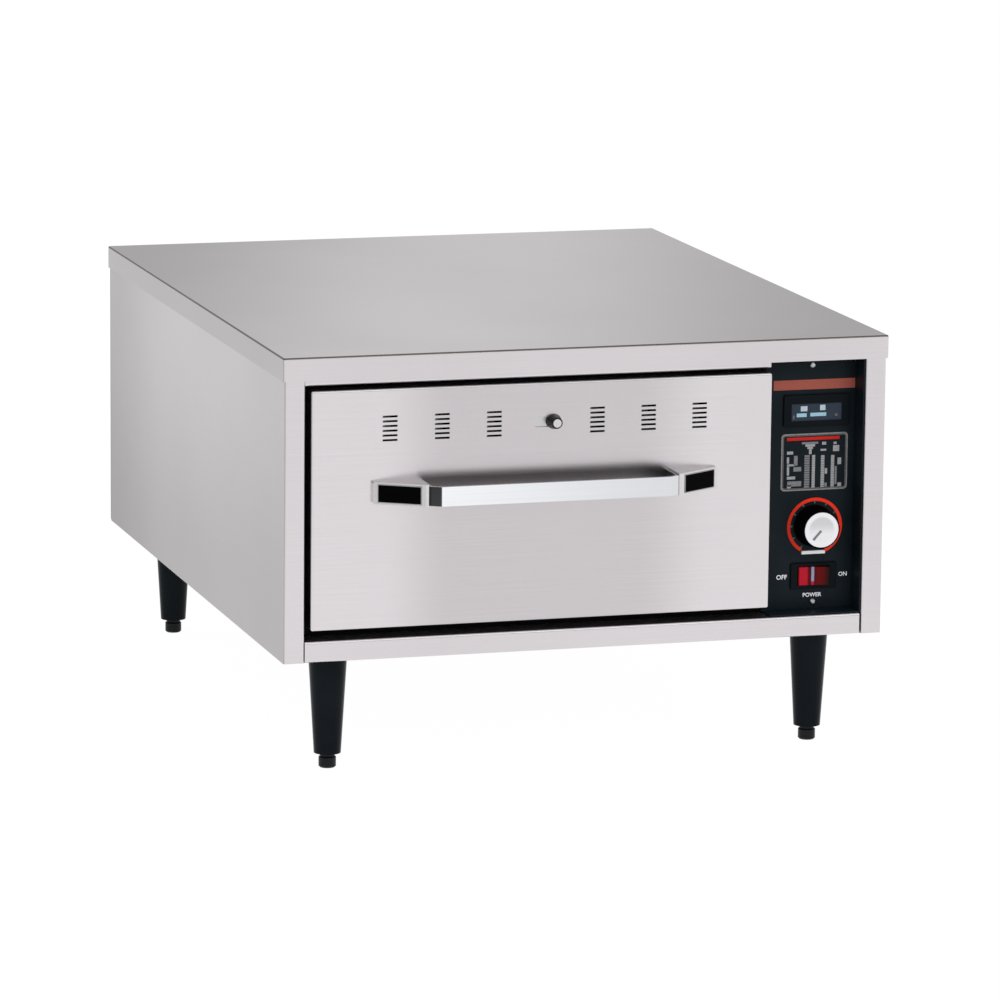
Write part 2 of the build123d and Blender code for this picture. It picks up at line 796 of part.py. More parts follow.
with BuildPart() as drawer_frame:
    # Welded frame that the pan hangs in: a seat all round, webs on the slides.
    frame_length = frame_rear - inner_face
    pan_opening = (pan_width - 2 * pan_rim + 2 * frame_fit, pan_length - 2 * pan_rim + 2 * frame_fit)
    with BuildSketch(Plane.XY.offset(seat_z - frame_sheet)):
        with Locations((cavity_x, inner_face + frame_length / 2)):
            Rectangle(2 * frame_half, frame_length)
        with Locations((cavity_x, pan_y)):
            RectangleRounded(*pan_opening, radius=pan_corner, mode=Mode.SUBTRACT)
    extrude(amount=frame_sheet)
    with BuildSketch(Plane.XY.offset(seat_z - frame_skirt)):
        for side in (-1, 1):
            with Locations((cavity_x + side * (frame_half - frame_sheet / 2), inner_face)):
                Rectangle(
                    frame_sheet,
                    drawer_roller_y + roller_radius - inner_face,
                    align=(Align.CENTER, Align.MIN),
                )
        for cross_y in (inner_face + frame_sheet / 2, frame_rear - frame_sheet / 2):
            with Locations((cavity_x, cross_y)):
                Rectangle(2 * frame_half, frame_sheet)
    extrude(amount=frame_skirt)
save(drawer_frame, "drawer_frame")

with BuildPart() as food_pan:
    for inset, mode in ((0, Mode.ADD), (pan_sheet, Mode.SUBTRACT)):
        with BuildSketch(Plane.XY.offset(pan_top)):
            with Locations((cavity_x, pan_y)):
                RectangleRounded(
                    pan_width - 2 * pan_rim - 2 * inset,
                    pan_length - 2 * pan_rim - 2 * inset,
                    radius=pan_corner - inset,
                )
        extrude(amount=inset - pan_depth, taper=pan_draft, mode=mode)
    outer_floor, inner_floor = food_pan.faces().filter_by(Axis.Z).sort_by(Axis.Z)[:2]
    fillet(outer_floor.edges(), radius=pan_bottom_radius)
    fillet(inner_floor.edges(), radius=pan_bottom_radius - pan_sheet)
    # Rim with a turned-down lip that rests on the frame.
    for height, inset in ((pan_sheet, pan_rim + pan_sheet), (pan_lip, pan_sheet)):
        with BuildSketch(Plane.XY.offset(pan_top)):
            with Locations((cavity_x, pan_y)):
                RectangleRounded(pan_width, pan_length, radius=pan_corner + pan_rim)
                RectangleRounded(
                    pan_width - 2 * inset,
                    pan_length - 2 * inset,
                    radius=pan_corner + pan_rim - inset,
                    mode=Mode.SUBTRACT,
                )
        extrude(amount=-height)
save(food_pan, "food_pan")

# ---------------------------------------------------------------- handle
strap_middle = handle_reach - strap / 2
with BuildPart() as handle_bar:
    # A bent strap: two legs, two slanted shoulders and a flat grip.
    with BuildSketch(Plane.XY.offset(handle_z - strap_height / 2)):
        add(
            folded(
                [
                    (handle_x + x, front - reach)
                    for x, reach in (
                        (-strap_shoulder + strap / 2, 0),
                        (-strap_shoulder + strap / 2, ridge_reach),
                        (-strap_half, strap_middle),
                        (strap_half, strap_middle),
                        (strap_shoulder - strap / 2, ridge_reach),
                        (strap_shoulder - strap / 2, 0),
                    )
                ],
                thickness=strap,
                radius=strap / 2 + 0.5,
            )
        )
    extrude(amount=strap_height)
save(handle_bar, "handle_bar")

ramp_run = handle_half - ridge_half
ramp_rise = ridge_reach - tip_reach


def ramp_plane(side):
    """Plane on the sloping face of one bracket, with x along the slope."""
    return Plane(
        origin=(
            handle_x + side * (ridge_half + ramp_run / 2),
            front - tip_reach - ramp_rise / 2,
            handle_z,
        ),
        x_dir=(ramp_run, side * ramp_rise, 0),
        z_dir=(side * ramp_rise, -ramp_run, 0),
    )


for side, name in ((-1, "left"), (1, "right")):
    with BuildPart() as handle_bracket:
        # A cast ramp from the drawer face up to the strap's shoulder.
        with BuildSketch(Plane.XY.offset(handle_z - bracket_height / 2)):
            with BuildLine():
                Polyline(
                    *[
                        (handle_x + side * x, front - reach)
                        for x, reach in (
                            (strap_shoulder, 0),
                            (strap_shoulder, ridge_reach),
                            (ridge_half, ridge_reach),
                            (handle_half, tip_reach),
                            (handle_half, 0),
                        )
                    ],
                    close=True,
                )
            make_face()
        extrude(amount=bracket_height)
        outward = Axis((0, 0, 0), (side, 0, 0))
        fillet(handle_bracket.faces().sort_by(outward)[-1].edges().filter_by(Axis.Y), radius=bend)
        # Pocket for the bare label insert.
        with BuildSketch(ramp_plane(side)):
            Rectangle(label_length, label_height)
        extrude(amount=-label_pocket, mode=Mode.SUBTRACT)
        # Blind holes for the fixing screws.
        with BuildSketch(Plane.XZ.offset(-front)):
            with Locations((handle_x + side * handle_screw_half, handle_z)):
                with GridLocations(handle_screw_pitch, handle_screw_pitch, 1, 2):
                    Circle(screw_radius + screw_fit)
        extrude(amount=handle_screw_depth + bend, mode=Mode.SUBTRACT)
    save(handle_bracket, f"handle_bracket_{name}")

with BuildPart() as label_inserts:
    for side in (-1, 1):
        with BuildSketch(ramp_plane(side).offset(-label_pocket)):
            Rectangle(label_length - screw_fit, label_height - screw_fit)
        extrude(amount=label_sheet)
save(label_inserts, "label_inserts")

with BuildPart() as handle_screws:
    for radius, low, high in (
        (screw_radius, front - handle_screw_depth, front + skin),
        (screw_head_radius, front + skin, front + skin + screw_head),
    ):
        with BuildSketch(Plane.XZ.offset(-low)):
            for side in (-1, 1):
                with Locations((handle_x + side * handle_screw_half, handle_z)):
                    with GridLocations(handle_screw_pitch, handle_screw_pitch, 1, 2):
                        Circle(radius)
        extrude(amount=low - high)
save(handle_screws, "handle_screws")

# ---------------------------------------------------------------- controls
lining = skin
panel_left = divider_x + skin + lid_fit
panel_right = opening_x - lid_fit
panel_bottom = rail_top + lid_fit
with BuildPart() as control_panel:
    with BuildSketch(Plane.XZ.offset(-oven_face)):
        with Locations(((panel_left + panel_right) / 2, (panel_bottom + panel_top) / 2)):
            Rectangle(panel_right - panel_left, panel_top - panel_bottom)
    extrude(amount=-panel_sheet)
    # Flanges come forward and line the recess on its right and below.
    with BuildSketch(Plane.XZ.offset(-oven_face)):
        with Locations((panel_right, panel_bottom)):
            Rectangle(lining, panel_top - panel_bottom, align=(Align.MAX, Align.MIN))
            Rectangle(panel_right - panel_left, lining, align=(Align.MAX, Align.MIN))
    extrude(amount=oven_face - frame_face - bend)
    with BuildSketch(Plane.XZ.offset(-oven_face)):
        with Locations((control_x, display_z)):
            Rectangle(display_size[0] - 4 * bezel_radius, display_size[1] - 3 * bezel_radius)
        with Locations((control_x, switch_z)):
            Rectangle(switch_size[0] - 2 * bezel_radius, switch_size[1] - 2 * bezel_radius)
        with Locations((control_x, knob_z)):
            Circle(bushing_thread + screw_fit)
        with Locations(*panel_screw_places):
            Circle(panel_screw_radius + screw_fit)
    extrude(amount=-panel_sheet, mode=Mode.SUBTRACT)
save(control_panel, "control_panel")

with BuildPart() as panel_screws:
    for radius, low, high in (
        (panel_screw_head_radius, oven_face - screw_head, oven_face),
        (panel_screw_radius, oven_face, panel_back + 2 * screw_head),
    ):
        with BuildSketch(Plane.XZ.offset(-low)):
            with Locations(*panel_screw_places):
                Circle(radius)
        extrude(amount=low - high)
    chamfer(panel_screws.faces().sort_by(Axis.Y)[:2].edges(), length=screw_head / 3)
save(panel_screws, "panel_screws")

module_size = (display_size[0] - 4 * bezel_radius, display_size[1] - 3 * bezel_radius)
with BuildPart() as display_bezel:
    with BuildSketch(Plane.XZ.offset(-oven_face)):
        with Locations((control_x, display_z)):
            RectangleRounded(*display_size, radius=bezel_radius)
    extrude(amount=bezel_reach)
    fillet(display_bezel.faces().sort_by(Axis.Y)[0].edges(), radius=bezel_radius / 3)
    with BuildSketch(Plane.XZ.offset(bezel_reach - oven_face)):
        with Locations((control_x, display_z - lcd_drop)):
            Rectangle(*lcd_size)
    extrude(amount=-bezel_reach, mode=Mode.SUBTRACT)
save(display_bezel, "display_bezel")

with BuildPart() as display_window:
    with BuildSketch(Plane.XZ.offset(-oven_face)):
        with Locations((control_x, display_z - lcd_drop)):
            Rectangle(lcd_size[0] - screw_fit, lcd_size[1] - screw_fit)
    extrude(amount=window_sheet)
save(display_window, "display_window")

with BuildPart() as display_module:
    with BuildSketch(Plane.XZ.offset(-oven_face)):
        with Locations((control_x, display_z)):
            Rectangle(module_size[0] - batt_fit, module_size[1] - batt_fit)
    extrude(amount=-display_depth)
    fillet(display_module.faces().sort_by(Axis.Y)[-1].edges(), radius=bezel_radius)
save(display_module, "display_module")

pivot_y = oven_face - bezel_reach / 2
pin_end = rocker_size[1] / 2 + rocker_pin_length
pin_plane = Plane(origin=(control_x, pivot_y, switch_z - pin_end - 2 * rocker_pin_fit))
with BuildPart() as switch_housing:
    with BuildSketch(Plane.XZ.offset(-oven_face)):
        with Locations((control_x, switch_z)):
            RectangleRounded(*switch_size, radius=bezel_radius / 2)
    extrude(amount=bezel_reach)
    fillet(switch_housing.faces().sort_by(Axis.Y)[0].edges(), radius=bezel_radius / 3)
    with BuildSketch(Plane.XZ.offset(-oven_face)):
        with Locations((control_x, switch_z)):
            Rectangle(
                switch_size[0] - 2 * bezel_radius - batt_fit,
                switch_size[1] - 2 * bezel_radius - batt_fit,
            )
    extrude(amount=-switch_depth)
    # Well for the rocker.
    with BuildSketch(Plane.XZ.offset(bezel_reach - oven_face)):
        with Locations((control_x, switch_z)):
            Rectangle(rocker_size[0], rocker_size[1])
    extrude(amount=-bezel_reach - 2 * rocker_depth, mode=Mode.SUBTRACT)
    # Sockets for the rocker's pins, above and below the well.
    with BuildSketch(pin_plane):
        Circle(rocker_pin_radius + rocker_pin_fit)
    extrude(amount=rocker_size[1] + 2 * rocker_pin_length + 4 * rocker_pin_fit, mode=Mode.SUBTRACT)
    # Spade tabs for the wires.
    with BuildSketch(Plane.XZ.offset(-oven_face - switch_depth)):
        with Locations((control_x, switch_z)):
            with GridLocations(tab_pitch, tab_pitch, 3, 1):
                Rectangle(tab_size[0], tab_size[2])
    extrude(amount=-tab_size[1])
save(switch_housing, "switch_housing")

with BuildPart() as switch_rocker:
    # The see-saw key at rest: its left end is pressed in.
    half_key = rocker_size[0] / 2 - 3 * rocker_gap
    tilt = radians(rocker_tilt)
    key_plane = Plane(
        origin=(control_x, pivot_y, switch_z - rocker_size[1] / 2 + rocker_gap),
        x_dir=(cos(tilt), -sin(tilt), 0),
        z_dir=(0, 0, 1),
    )
    with BuildSketch(key_plane):
        with BuildLine():
            Polyline(
                (-half_key, rocker_reach / 2),
                (-half_key, -rocker_reach),
                (0, rocker_valley - rocker_reach),
                (half_key, -rocker_reach),
                (half_key, rocker_reach / 2),
                (0, rocker_depth),
                close=True,
            )
        make_face()
    extrude(amount=rocker_size[1] - 2 * rocker_gap)
    # The pins that it tips on.
    with BuildSketch(pin_plane.offset(2 * rocker_pin_fit)):
        Circle(rocker_pin_radius)
    extrude(amount=2 * pin_end)
save(switch_rocker, "switch_rocker")

with BuildPart() as thermostat_body:
    with BuildSketch(Plane.XZ.offset(-panel_back)):
        with Locations((control_x, knob_z)):
            RectangleRounded(thermostat_width, thermostat_height, radius=bezel_radius)
    extrude(amount=-thermostat_depth)
    with BuildSketch(Plane.XZ.offset(-oven_face)):
        with Locations((control_x, knob_z)):
            Circle(bushing_thread)
    extrude(amount=-panel_sheet)
    with BuildSketch(Plane.XZ.offset(-oven_face)):
        with Locations((control_x, knob_z)):
            Circle(shaft_radius + shaft_fit)
    extrude(amount=-thermostat_depth / 2, mode=Mode.SUBTRACT)
save(thermostat_body, "thermostat_body")

knob_rear = oven_face - knob_gap
knob_face = oven_face - knob_gap - knob_reach
shaft_front = knob_face + knob_reach / 3
shaft_rear = oven_face + thermostat_depth / 2 - rail_sheet
with BuildPart() as thermostat_shaft:
    with BuildSketch(Plane.XZ.offset(-shaft_front)):
        with Locations((control_x, knob_z)):
            Circle(shaft_radius)
    extrude(amount=shaft_front - shaft_rear)
save(thermostat_shaft, "thermostat_shaft")

with BuildPart() as control_knob:
    # A tapered knob with fluted sides and a sunk disc in its face.
    with BuildSketch(Plane.XZ.offset(-knob_rear)):
        with Locations((control_x, knob_z)):
            Circle(knob_base)
    with BuildSketch(Plane.XZ.offset(-knob_face)):
        with Locations((control_x, knob_z)):
            Circle(knob_top)
    loft()
    with BuildSketch(Plane.XZ.offset(-knob_face)):
        with Locations((control_x, knob_z)):
            with PolarLocations(flute_centre, knob_flutes):
                Circle(flute_radius)
    extrude(amount=-0.8 * knob_reach, mode=Mode.SUBTRACT)
    with BuildSketch(Plane.XZ.offset(-knob_face)):
        with Locations((control_x, knob_z)):
            Circle(knob_cap_radius + screw_fit)
    extrude(amount=-knob_cap, mode=Mode.SUBTRACT)
    with BuildSketch(Plane.XZ.offset(-knob_rear)):
        with Locations((control_x, knob_z)):
            Circle(shaft_radius + shaft_fit)
    extrude(amount=knob_rear - shaft_front, mode=Mode.SUBTRACT)
save(control_knob, "control_knob")

with BuildPart() as knob_disc:
    with BuildSketch(Plane.XZ.offset(-knob_face - knob_cap)):
        with Locations((control_x, knob_z)):
            Circle(knob_cap_radius)
    extrude(amount=knob_cap + label_sheet / 2)
    chamfer(knob_disc.faces().sort_by(Axis.Y)[0].edges(), length=label_sheet / 3)
save(knob_disc, "knob_disc")

with BuildPart() as thermostat_bulb:
    # A fine tube runs back from the thermostat, through the wall, to the bulb in the oven.
    with BuildLine(Plane.XY.offset(bulb_z)):
        capillary = FilletPolyline(
            (capillary_x, panel_back + thermostat_depth),
            (capillary_x, capillary_turn_y),
            (bulb_x, capillary_turn_y),
            (bulb_x, oven_face + bulb_start),
            radius=capillary_bend,
        )
    with BuildSketch(Plane(origin=capillary @ 0, z_dir=capillary % 0)):
        Circle(capillary_radius)
    sweep()
    with BuildSketch(Plane.XZ.offset(-oven_face - bulb_start)):
        with Locations((bulb_x, bulb_z)):
            Circle(bulb_radius)
    extrude(amount=-bulb_length)
    chamfer(thermostat_bulb.faces().sort_by(Axis.Y)[-1].edges(), length=bulb_radius / 2)
save(thermostat_bulb, "thermostat_bulb")

with BuildPart() as bulb_clips:
    for share in (0.2, 0.8):
        with BuildSketch(Plane.XZ.offset(-oven_face - bulb_start - share * bulb_length)):
            with Locations((cavity_right, bulb_z)):
                Rectangle(
                    bulb_wall_gap + 2 * bulb_radius + rail_sheet,
                    3 * bulb_radius,
                    align=(Align.MAX, Align.CENTER),
                )
            with Locations((bulb_x, bulb_z)):
                Circle(bulb_radius + bore_margin, mode=Mode.SUBTRACT)
        extrude(amount=-2 * rail_sheet)
save(bulb_clips, "bulb_clips")

# ---------------------------------------------------------------- supply
with BuildPart() as terminal_block:
    # A barrier block on the floor of the control compartment.
    block_y = leg_y[1] - leg_plate_size / 2 - terminal_block_size[1]
    with BuildSketch(Plane.XY.offset(floor_top)):
        with Locations((gland_x, block_y)):
            Rectangle(terminal_block_size[0], terminal_block_size[1])
    extrude(amount=terminal_block_size[2])
    with BuildSketch(Plane.XY.offset(floor_top + terminal_block_size[2])):
        with Locations((gland_x, block_y)):
            way_pitch = terminal_block_size[0] / terminal_ways
            with GridLocations(way_pitch, way_pitch, terminal_ways, 1):
                Rectangle(way_pitch - 2 * skin, terminal_block_size[1] - 4 * skin)
    extrude(amount=-terminal_block_size[2] / 3, mode=Mode.SUBTRACT)
save(terminal_block, "terminal_block")

with BuildPart() as cable_gland:
    # Threaded body through the back panel, with a hexagon and a domed clamping nut.
    with BuildSketch(Plane.XZ.offset(-rear_face + skin + locknut_thickness + bend)):
        with Locations((gland_x, gland_z)):
            Circle(gland_thread)
    extrude(amount=-(skin + locknut_thickness + bend + skin))
    with BuildSketch(Plane.XZ.offset(-rear_face)):
        with Locations((gland_x, gland_z)):
            RegularPolygon(radius=gland_hex, side_count=6)
    extrude(amount=-gland_reach / 3)
    with BuildSketch(Plane.XZ.offset(-rear_face - gland_reach / 3)):
        with Locations((gland_x, gland_z)):
            Circle(gland_hex - skin)
    extrude(amount=-2 * gland_reach / 3, taper=6)
    chamfer(cable_gland.faces().sort_by(Axis.Y)[-1].edges(), length=bend)
    with BuildSketch(Plane.XZ.offset(-rear_face - gland_reach)):
        with Locations((gland_x, gland_z)):
            Circle(gland_bore)
    extrude(amount=gland_reach + skin + locknut_thickness + bend, mode=Mode.SUBTRACT)
save(cable_gland, "cable_gland")

with BuildPart() as gland_locknut:
    with BuildSketch(Plane.XZ.offset(-rear_face + skin)):
        with Locations((gland_x, gland_z)):
            RegularPolygon(radius=gland_hex, side_count=6)
            Circle(gland_thread + screw_fit, mode=Mode.SUBTRACT)
    extrude(amount=locknut_thickness)
save(gland_locknut, "gland_locknut")

# ---------------------------------------------------------------- legs
with BuildPart() as leg_plates:
    with BuildSketch(Plane.XY.offset(floor_top)):
        with Locations(*leg_places):
            Rectangle(leg_plate_size, leg_plate_size)
            Circle(stud_radius + stud_fit, mode=Mode.SUBTRACT)
    extrude(amount=leg_plate)
save(leg_plates, "leg_plates")

leg_names = ("front_left", "front_right", "rear_left", "rear_right")
for (x, y), name in zip(leg_places, leg_names):
    with BuildPart() as leg:
        # A tapered leg turned about its stud, with a bore for the adjustable foot.
        with BuildSketch(Plane.XZ.offset(-y)):
            with BuildLine():
                Polyline(
                    (x, leg_tip_height + stem_length + foot_travel / 4),
                    (x + stem_radius + stem_fit, leg_tip_height + stem_length + foot_travel / 4),
                    (x + stem_radius + stem_fit, leg_tip_height),
                    (x + leg_tip_radius, leg_tip_height),
                    (x + leg_top_radius, leg_length - leg_collar),
                    (x + leg_top_radius, leg_length),
                    (x + stud_radius, leg_length),
                    (x + stud_radius, floor_top + 2 * leg_plate),
                    (x, floor_top + 2 * leg_plate),
                    close=True,
                )
            make_face()
        revolve(axis=Axis((x, y, 0), (0, 0, 1)))
    save(leg, f"leg_{name}")

    with BuildPart() as foot:
        # A round pad on a stem that screws up into the leg.
        with BuildSketch(Plane.XZ.offset(-y)):
            with BuildLine():
                Polyline(
                    (x, 0),
                    (x + foot_radius - skin, 0),
                    (x + foot_radius, skin),
                    (x + foot_radius, foot_height - skin),
                    (x + foot_neck_radius, foot_height),
                    (x + foot_neck_radius, leg_tip_height - foot_clearance),
                    (x + stem_radius, leg_tip_height - foot_clearance),
                    (x + stem_radius, leg_tip_height + stem_length),
                    (x, leg_tip_height + stem_length),
                    close=True,
                )
            make_face()
        revolve(axis=Axis((x, y, 0), (0, 0, 1)))
    save(foot, f"foot_{name}")
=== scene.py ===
"""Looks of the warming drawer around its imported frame: materials, printed panel, light, camera."""

import json
import math

import bmesh
import bpy
from mathutils import Matrix, Vector


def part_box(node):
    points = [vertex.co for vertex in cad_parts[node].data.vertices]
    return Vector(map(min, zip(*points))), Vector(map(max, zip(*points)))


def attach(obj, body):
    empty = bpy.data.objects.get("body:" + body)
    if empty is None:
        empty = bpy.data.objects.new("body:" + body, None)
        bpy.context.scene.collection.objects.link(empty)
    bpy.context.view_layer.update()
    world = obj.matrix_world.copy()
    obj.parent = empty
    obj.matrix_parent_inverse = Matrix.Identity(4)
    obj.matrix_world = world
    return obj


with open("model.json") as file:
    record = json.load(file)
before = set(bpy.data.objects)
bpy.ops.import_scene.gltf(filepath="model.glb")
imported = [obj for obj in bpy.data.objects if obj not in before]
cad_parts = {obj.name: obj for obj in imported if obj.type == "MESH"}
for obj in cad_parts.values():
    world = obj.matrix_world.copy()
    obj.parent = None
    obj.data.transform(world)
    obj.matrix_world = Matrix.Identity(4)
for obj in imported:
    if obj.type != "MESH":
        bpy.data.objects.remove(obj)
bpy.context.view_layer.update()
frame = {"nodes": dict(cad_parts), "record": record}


MM = 0.001


# ------------------------------------------------------------------ places on the object
def corners(node):
    """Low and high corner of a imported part's box."""
    low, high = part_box(node)
    return Vector(low), Vector(high)


front_lo, front_hi = corners("drawer_front")
disc_lo, disc_hi = corners("knob_disc")
rocker_lo, rocker_hi = corners("switch_rocker")
housing_lo, housing_hi = corners("switch_housing")
labels_lo, labels_hi = corners("label_inserts")

front_y = corners("top_cover")[0].y  # front plane of the cabinet
panel_y = corners("display_bezel")[1].y  # face of the control panel
screen_y = corners("display_window")[0].y  # face of the display window
panel_right = corners("control_panel")[1].x
front_mid = (front_lo.x + front_hi.x) / 2  # middle of the drawer front
control_x = (disc_lo.x + disc_hi.x) / 2  # middle of the thermostat knob
knob_z = (disc_lo.z + disc_hi.z) / 2
switch_z = (housing_lo.z + housing_hi.z) / 2


# ------------------------------------------------------------------ node helpers
class Tree:
    """The nodes of a material or a world, with short calls to add and join them."""

    def __init__(self, owner, output="ShaderNodeOutputMaterial"):
        owner.use_nodes = True
        self.owner = owner
        self.nodes = owner.node_tree.nodes
        self.links = owner.node_tree.links
        self.nodes.clear()
        self.output = self.nodes.new(output)

    def add(self, kind, inputs=None, **settings):
        """New node with its settings and inputs. An input goes by its name or number."""
        node = self.nodes.new(kind)
        for name, value in settings.items():
            setattr(node, name, value)
        for key, value in (inputs or {}).items():
            self.join(value, node, key)
        return node

    def join(self, value, node, key):
        """Feed a node's input from another node's output or with a plain value."""
        socket = node.inputs[key]
        if isinstance(value, bpy.types.NodeSocket):
            self.links.new(value, socket)
        elif socket.type == "RGBA":
            socket.default_value = (*value, 1.0)
        else:
            socket.default_value = value

    def coords(self, stretch=(1, 1, 1)):
        """Place on the piece, in the shared frame, with each axis multiplied by its stretch."""
        where = self.add("ShaderNodeTexCoord").outputs["Object"]
        return self.add("ShaderNodeMapping", {"Vector": where, "Scale": stretch}).outputs["Vector"]

    def split(self, vector):
        return self.add("ShaderNodeSeparateXYZ", {"Vector": vector}).outputs

    def place(self):
        """X, Y and Z of the place on the piece, in the shared frame."""
        return self.split(self.add("ShaderNodeTexCoord").outputs["Object"])

    def facing(self):
        """X, Y and Z of the way the surface looks."""
        return self.split(self.add("ShaderNodeNewGeometry").outputs["Normal"])

    def rays(self):
        """Two factors: 1 for what the camera sees, and 1 for what metal and glass show."""
        path = self.add("ShaderNodeLightPath").outputs
        shiny = self.maths("MAXIMUM", path["Is Glossy Ray"], path["Is Transmission Ray"])
        return path["Is Camera Ray"], shiny

    def remap(self, value, start, end, low, high, kind="LINEAR"):
        """Change from low to high while the value runs from start to end."""
        inputs = {"Value": value, "From Min": start, "From Max": end, "To Min": low, "To Max": high}
        return self.add("ShaderNodeMapRange", inputs, interpolation_type=kind).outputs["Result"]

    def fade(self, value, start, end, low, high):
        """Soft change from low to high while the value runs from start to end."""
        return self.remap(value, start, end, low, high, "SMOOTHSTEP")

    def span(self, value, low, high):
        """Even change from low to high while the value runs from 0 to 1."""
        return self.remap(value, 0.0, 1.0, low, high)

    def noise(self, scale, detail, roughness, stretch=(1, 1, 1)):
        inputs = {"Vector": self.coords(stretch), "Scale": scale}
        inputs |= {"Detail": detail, "Roughness": roughness}
        return self.add("ShaderNodeTexNoise", inputs).outputs["Fac"]

    def ramp(self, value, stops):
        """Colour that runs through the stops, each a position from 0 to 1 and a colour."""
        node = self.add("ShaderNodeValToRGB", {"Fac": value})
        elements = node.color_ramp.elements
        while len(elements) < len(stops):
            elements.new(0.5)
        for element, (position, colour) in zip(elements, stops):
            element.position = position
            element.color = (*colour, 1.0)
        return node.outputs["Color"]

    def scaled(self, colour, factor):
        """A colour made brighter or darker by a factor."""
        inputs = {0: colour, "Scale": factor}
        return self.add("ShaderNodeVectorMath", inputs, operation="SCALE").outputs["Vector"]

    def maths(self, operation, first, second=0.0):
        node = self.add("ShaderNodeMath", {0: first, 1: second}, operation=operation)
        return node.outputs["Value"]

    def product(self, first, *others):
        for other in others:
            first = self.maths("MULTIPLY", first, other)
        return first

    def rest(self, value):
        """What the value leaves of 1."""
        return self.maths("SUBTRACT", 1.0, value)

    def blend(self, factor, first, second):
        """The first colour where the factor is 0, the second where it is 1."""
        node = self.add("ShaderNodeMix", {0: factor, 6: first, 7: second}, data_type="RGBA")
        return node.outputs[2]

    def bump(self, height, strength, distance=0.2 * MM):
        inputs = {"Height": height, "Strength": strength, "Distance": distance}
        return self.add("ShaderNodeBump", inputs).outputs["Normal"]

    def mixed(self, factor, first, second):
        """The first shader where the factor is 0, the second where it is 1."""
        inputs = {0: factor, 1: first.outputs[0], 2: second.outputs[0]}
        return self.add("ShaderNodeMixShader", inputs)

    def finish(self, shader):
        """Put the shader out and hand back what the nodes belong to."""
        self.join(shader.outputs[0], self.output, "Surface")
        return self.owner

    def surface(self, **inputs):
        """The material as a principled surface. Input names have _ for a space."""
        named = {key.replace("_", " "): value for key, value in inputs.items()}
        return self.finish(self.add("ShaderNodeBsdfPrincipled", named))


def material_tree(name):
    return Tree(bpy.data.materials.new(name))


# ------------------------------------------------------------------ brushed steel
STEEL = (0.695, 0.662, 0.680)  # sheet of the cabinet and the drawer front
GRAIN = 0.03  # how much the grain darkens the metal
FINGERS = 0.03  # roughness that handling adds in places
ALONG, ACROSS = 6, 900  # stretch of the grain along and across its lines
LEVEL_LOOK = 0.6  # what looks up or down more than this lies level
TOP_LOOK = 0.985  # what looks up more than this is the flat of the lid
FOLD_SHADE_TONE = (0.13, 0.11, 0.10)  # painted shade: the dark line along the folds of the lid
SHEEN_LOW = 0.52  # brightness at the ends of the lid's painted sheen
SHEEN_SLANT = 0.35  # how far the painted sheen leans to the right, per metre towards the back
FACE_SHADE = 0.17  # how much darker the painted shadow makes the drawer face behind the handle
# painted shade: black on the liner's front flange, where the gaps round the drawer are in shadow
FLANGE_SHADE_BLACK = (0.004, 0.004, 0.004)
# painted shade on the inside of the handle strap
STRAP_INSIDE_SHADE = (0.19, 0.18, 0.18)
KNOB_SIDE = (0.035, 0.035, 0.037)
DISC_SHADE_RADIUS, DISC_SHADE_EDGE = 10.5 * MM, 13.5 * MM  # where the painted shade on the knob disc ends

# Painted light and shade along a surface: where each soft change starts and ends, in metres, and the
# brightness at each
SHEEN_LEFT = (-0.42, -0.04, SHEEN_LOW, 1.0)
SHEEN_RIGHT = (0.0, 0.42, 1.0, SHEEN_LOW)
SIDE_RISE = (0.08, 0.36, 0.72, 1.04)
SIDE_REAR = (0.08, 0.38, 1.0, 0.74)
SIDE_CORNER = (-0.36, -0.10, 0.90, 1.0)
DISC_SHADE = (-0.005, 0.007, 0.04, 0.26)  # here how much darker the painted shade makes it, not how bright


def brushed(name, colour, rough=(0.25, 0.31), cloud=0.05, bump=0.04, finish=None):
    """Brushed stainless sheet: fine grain along the sheet, soft clouding and a little handling."""
    tree = material_tree(name)
    grain = {"scale": 1.0, "detail": 3.0, "roughness": 0.55}
    upright = tree.noise(**grain, stretch=(ALONG, ALONG, ACROSS))
    level = tree.noise(**grain, stretch=(ALONG, ACROSS, ALONG))
    lies_level = tree.maths("GREATER_THAN", tree.maths("ABSOLUTE", tree.facing()["Z"]), LEVEL_LOOK)
    pick = tree.add("ShaderNodeMix", {0: lies_level, 2: upright, 3: level}, data_type="FLOAT")
    streak = pick.outputs[0]
    clouds = tree.noise(scale=5.0, detail=1.0, roughness=0.5)
    speck = tree.noise(scale=420.0, detail=2.0, roughness=0.6)
    dark = tuple(c * (1 - GRAIN) for c in colour)
    light = tuple(min(1.0, c * (1 + GRAIN * 0.6)) for c in colour)
    shade = tree.product(tree.span(clouds, 1 - cloud, 1 + cloud), tree.span(speck, 0.985, 1.015))
    base = tree.scaled(tree.ramp(streak, [(0.30, dark), (0.70, light)]), shade)
    if finish:
        base = finish(tree, base)
    smear = tree.noise(scale=26.0, detail=3.0, roughness=0.6)
    roughness = tree.maths("ADD", tree.span(streak, *rough), tree.span(smear, 0.0, FINGERS))
    return tree.surface(
        Base_Color=base,
        Metallic=1.0,
        Roughness=roughness,
        Normal=tree.bump(streak, bump),
    )


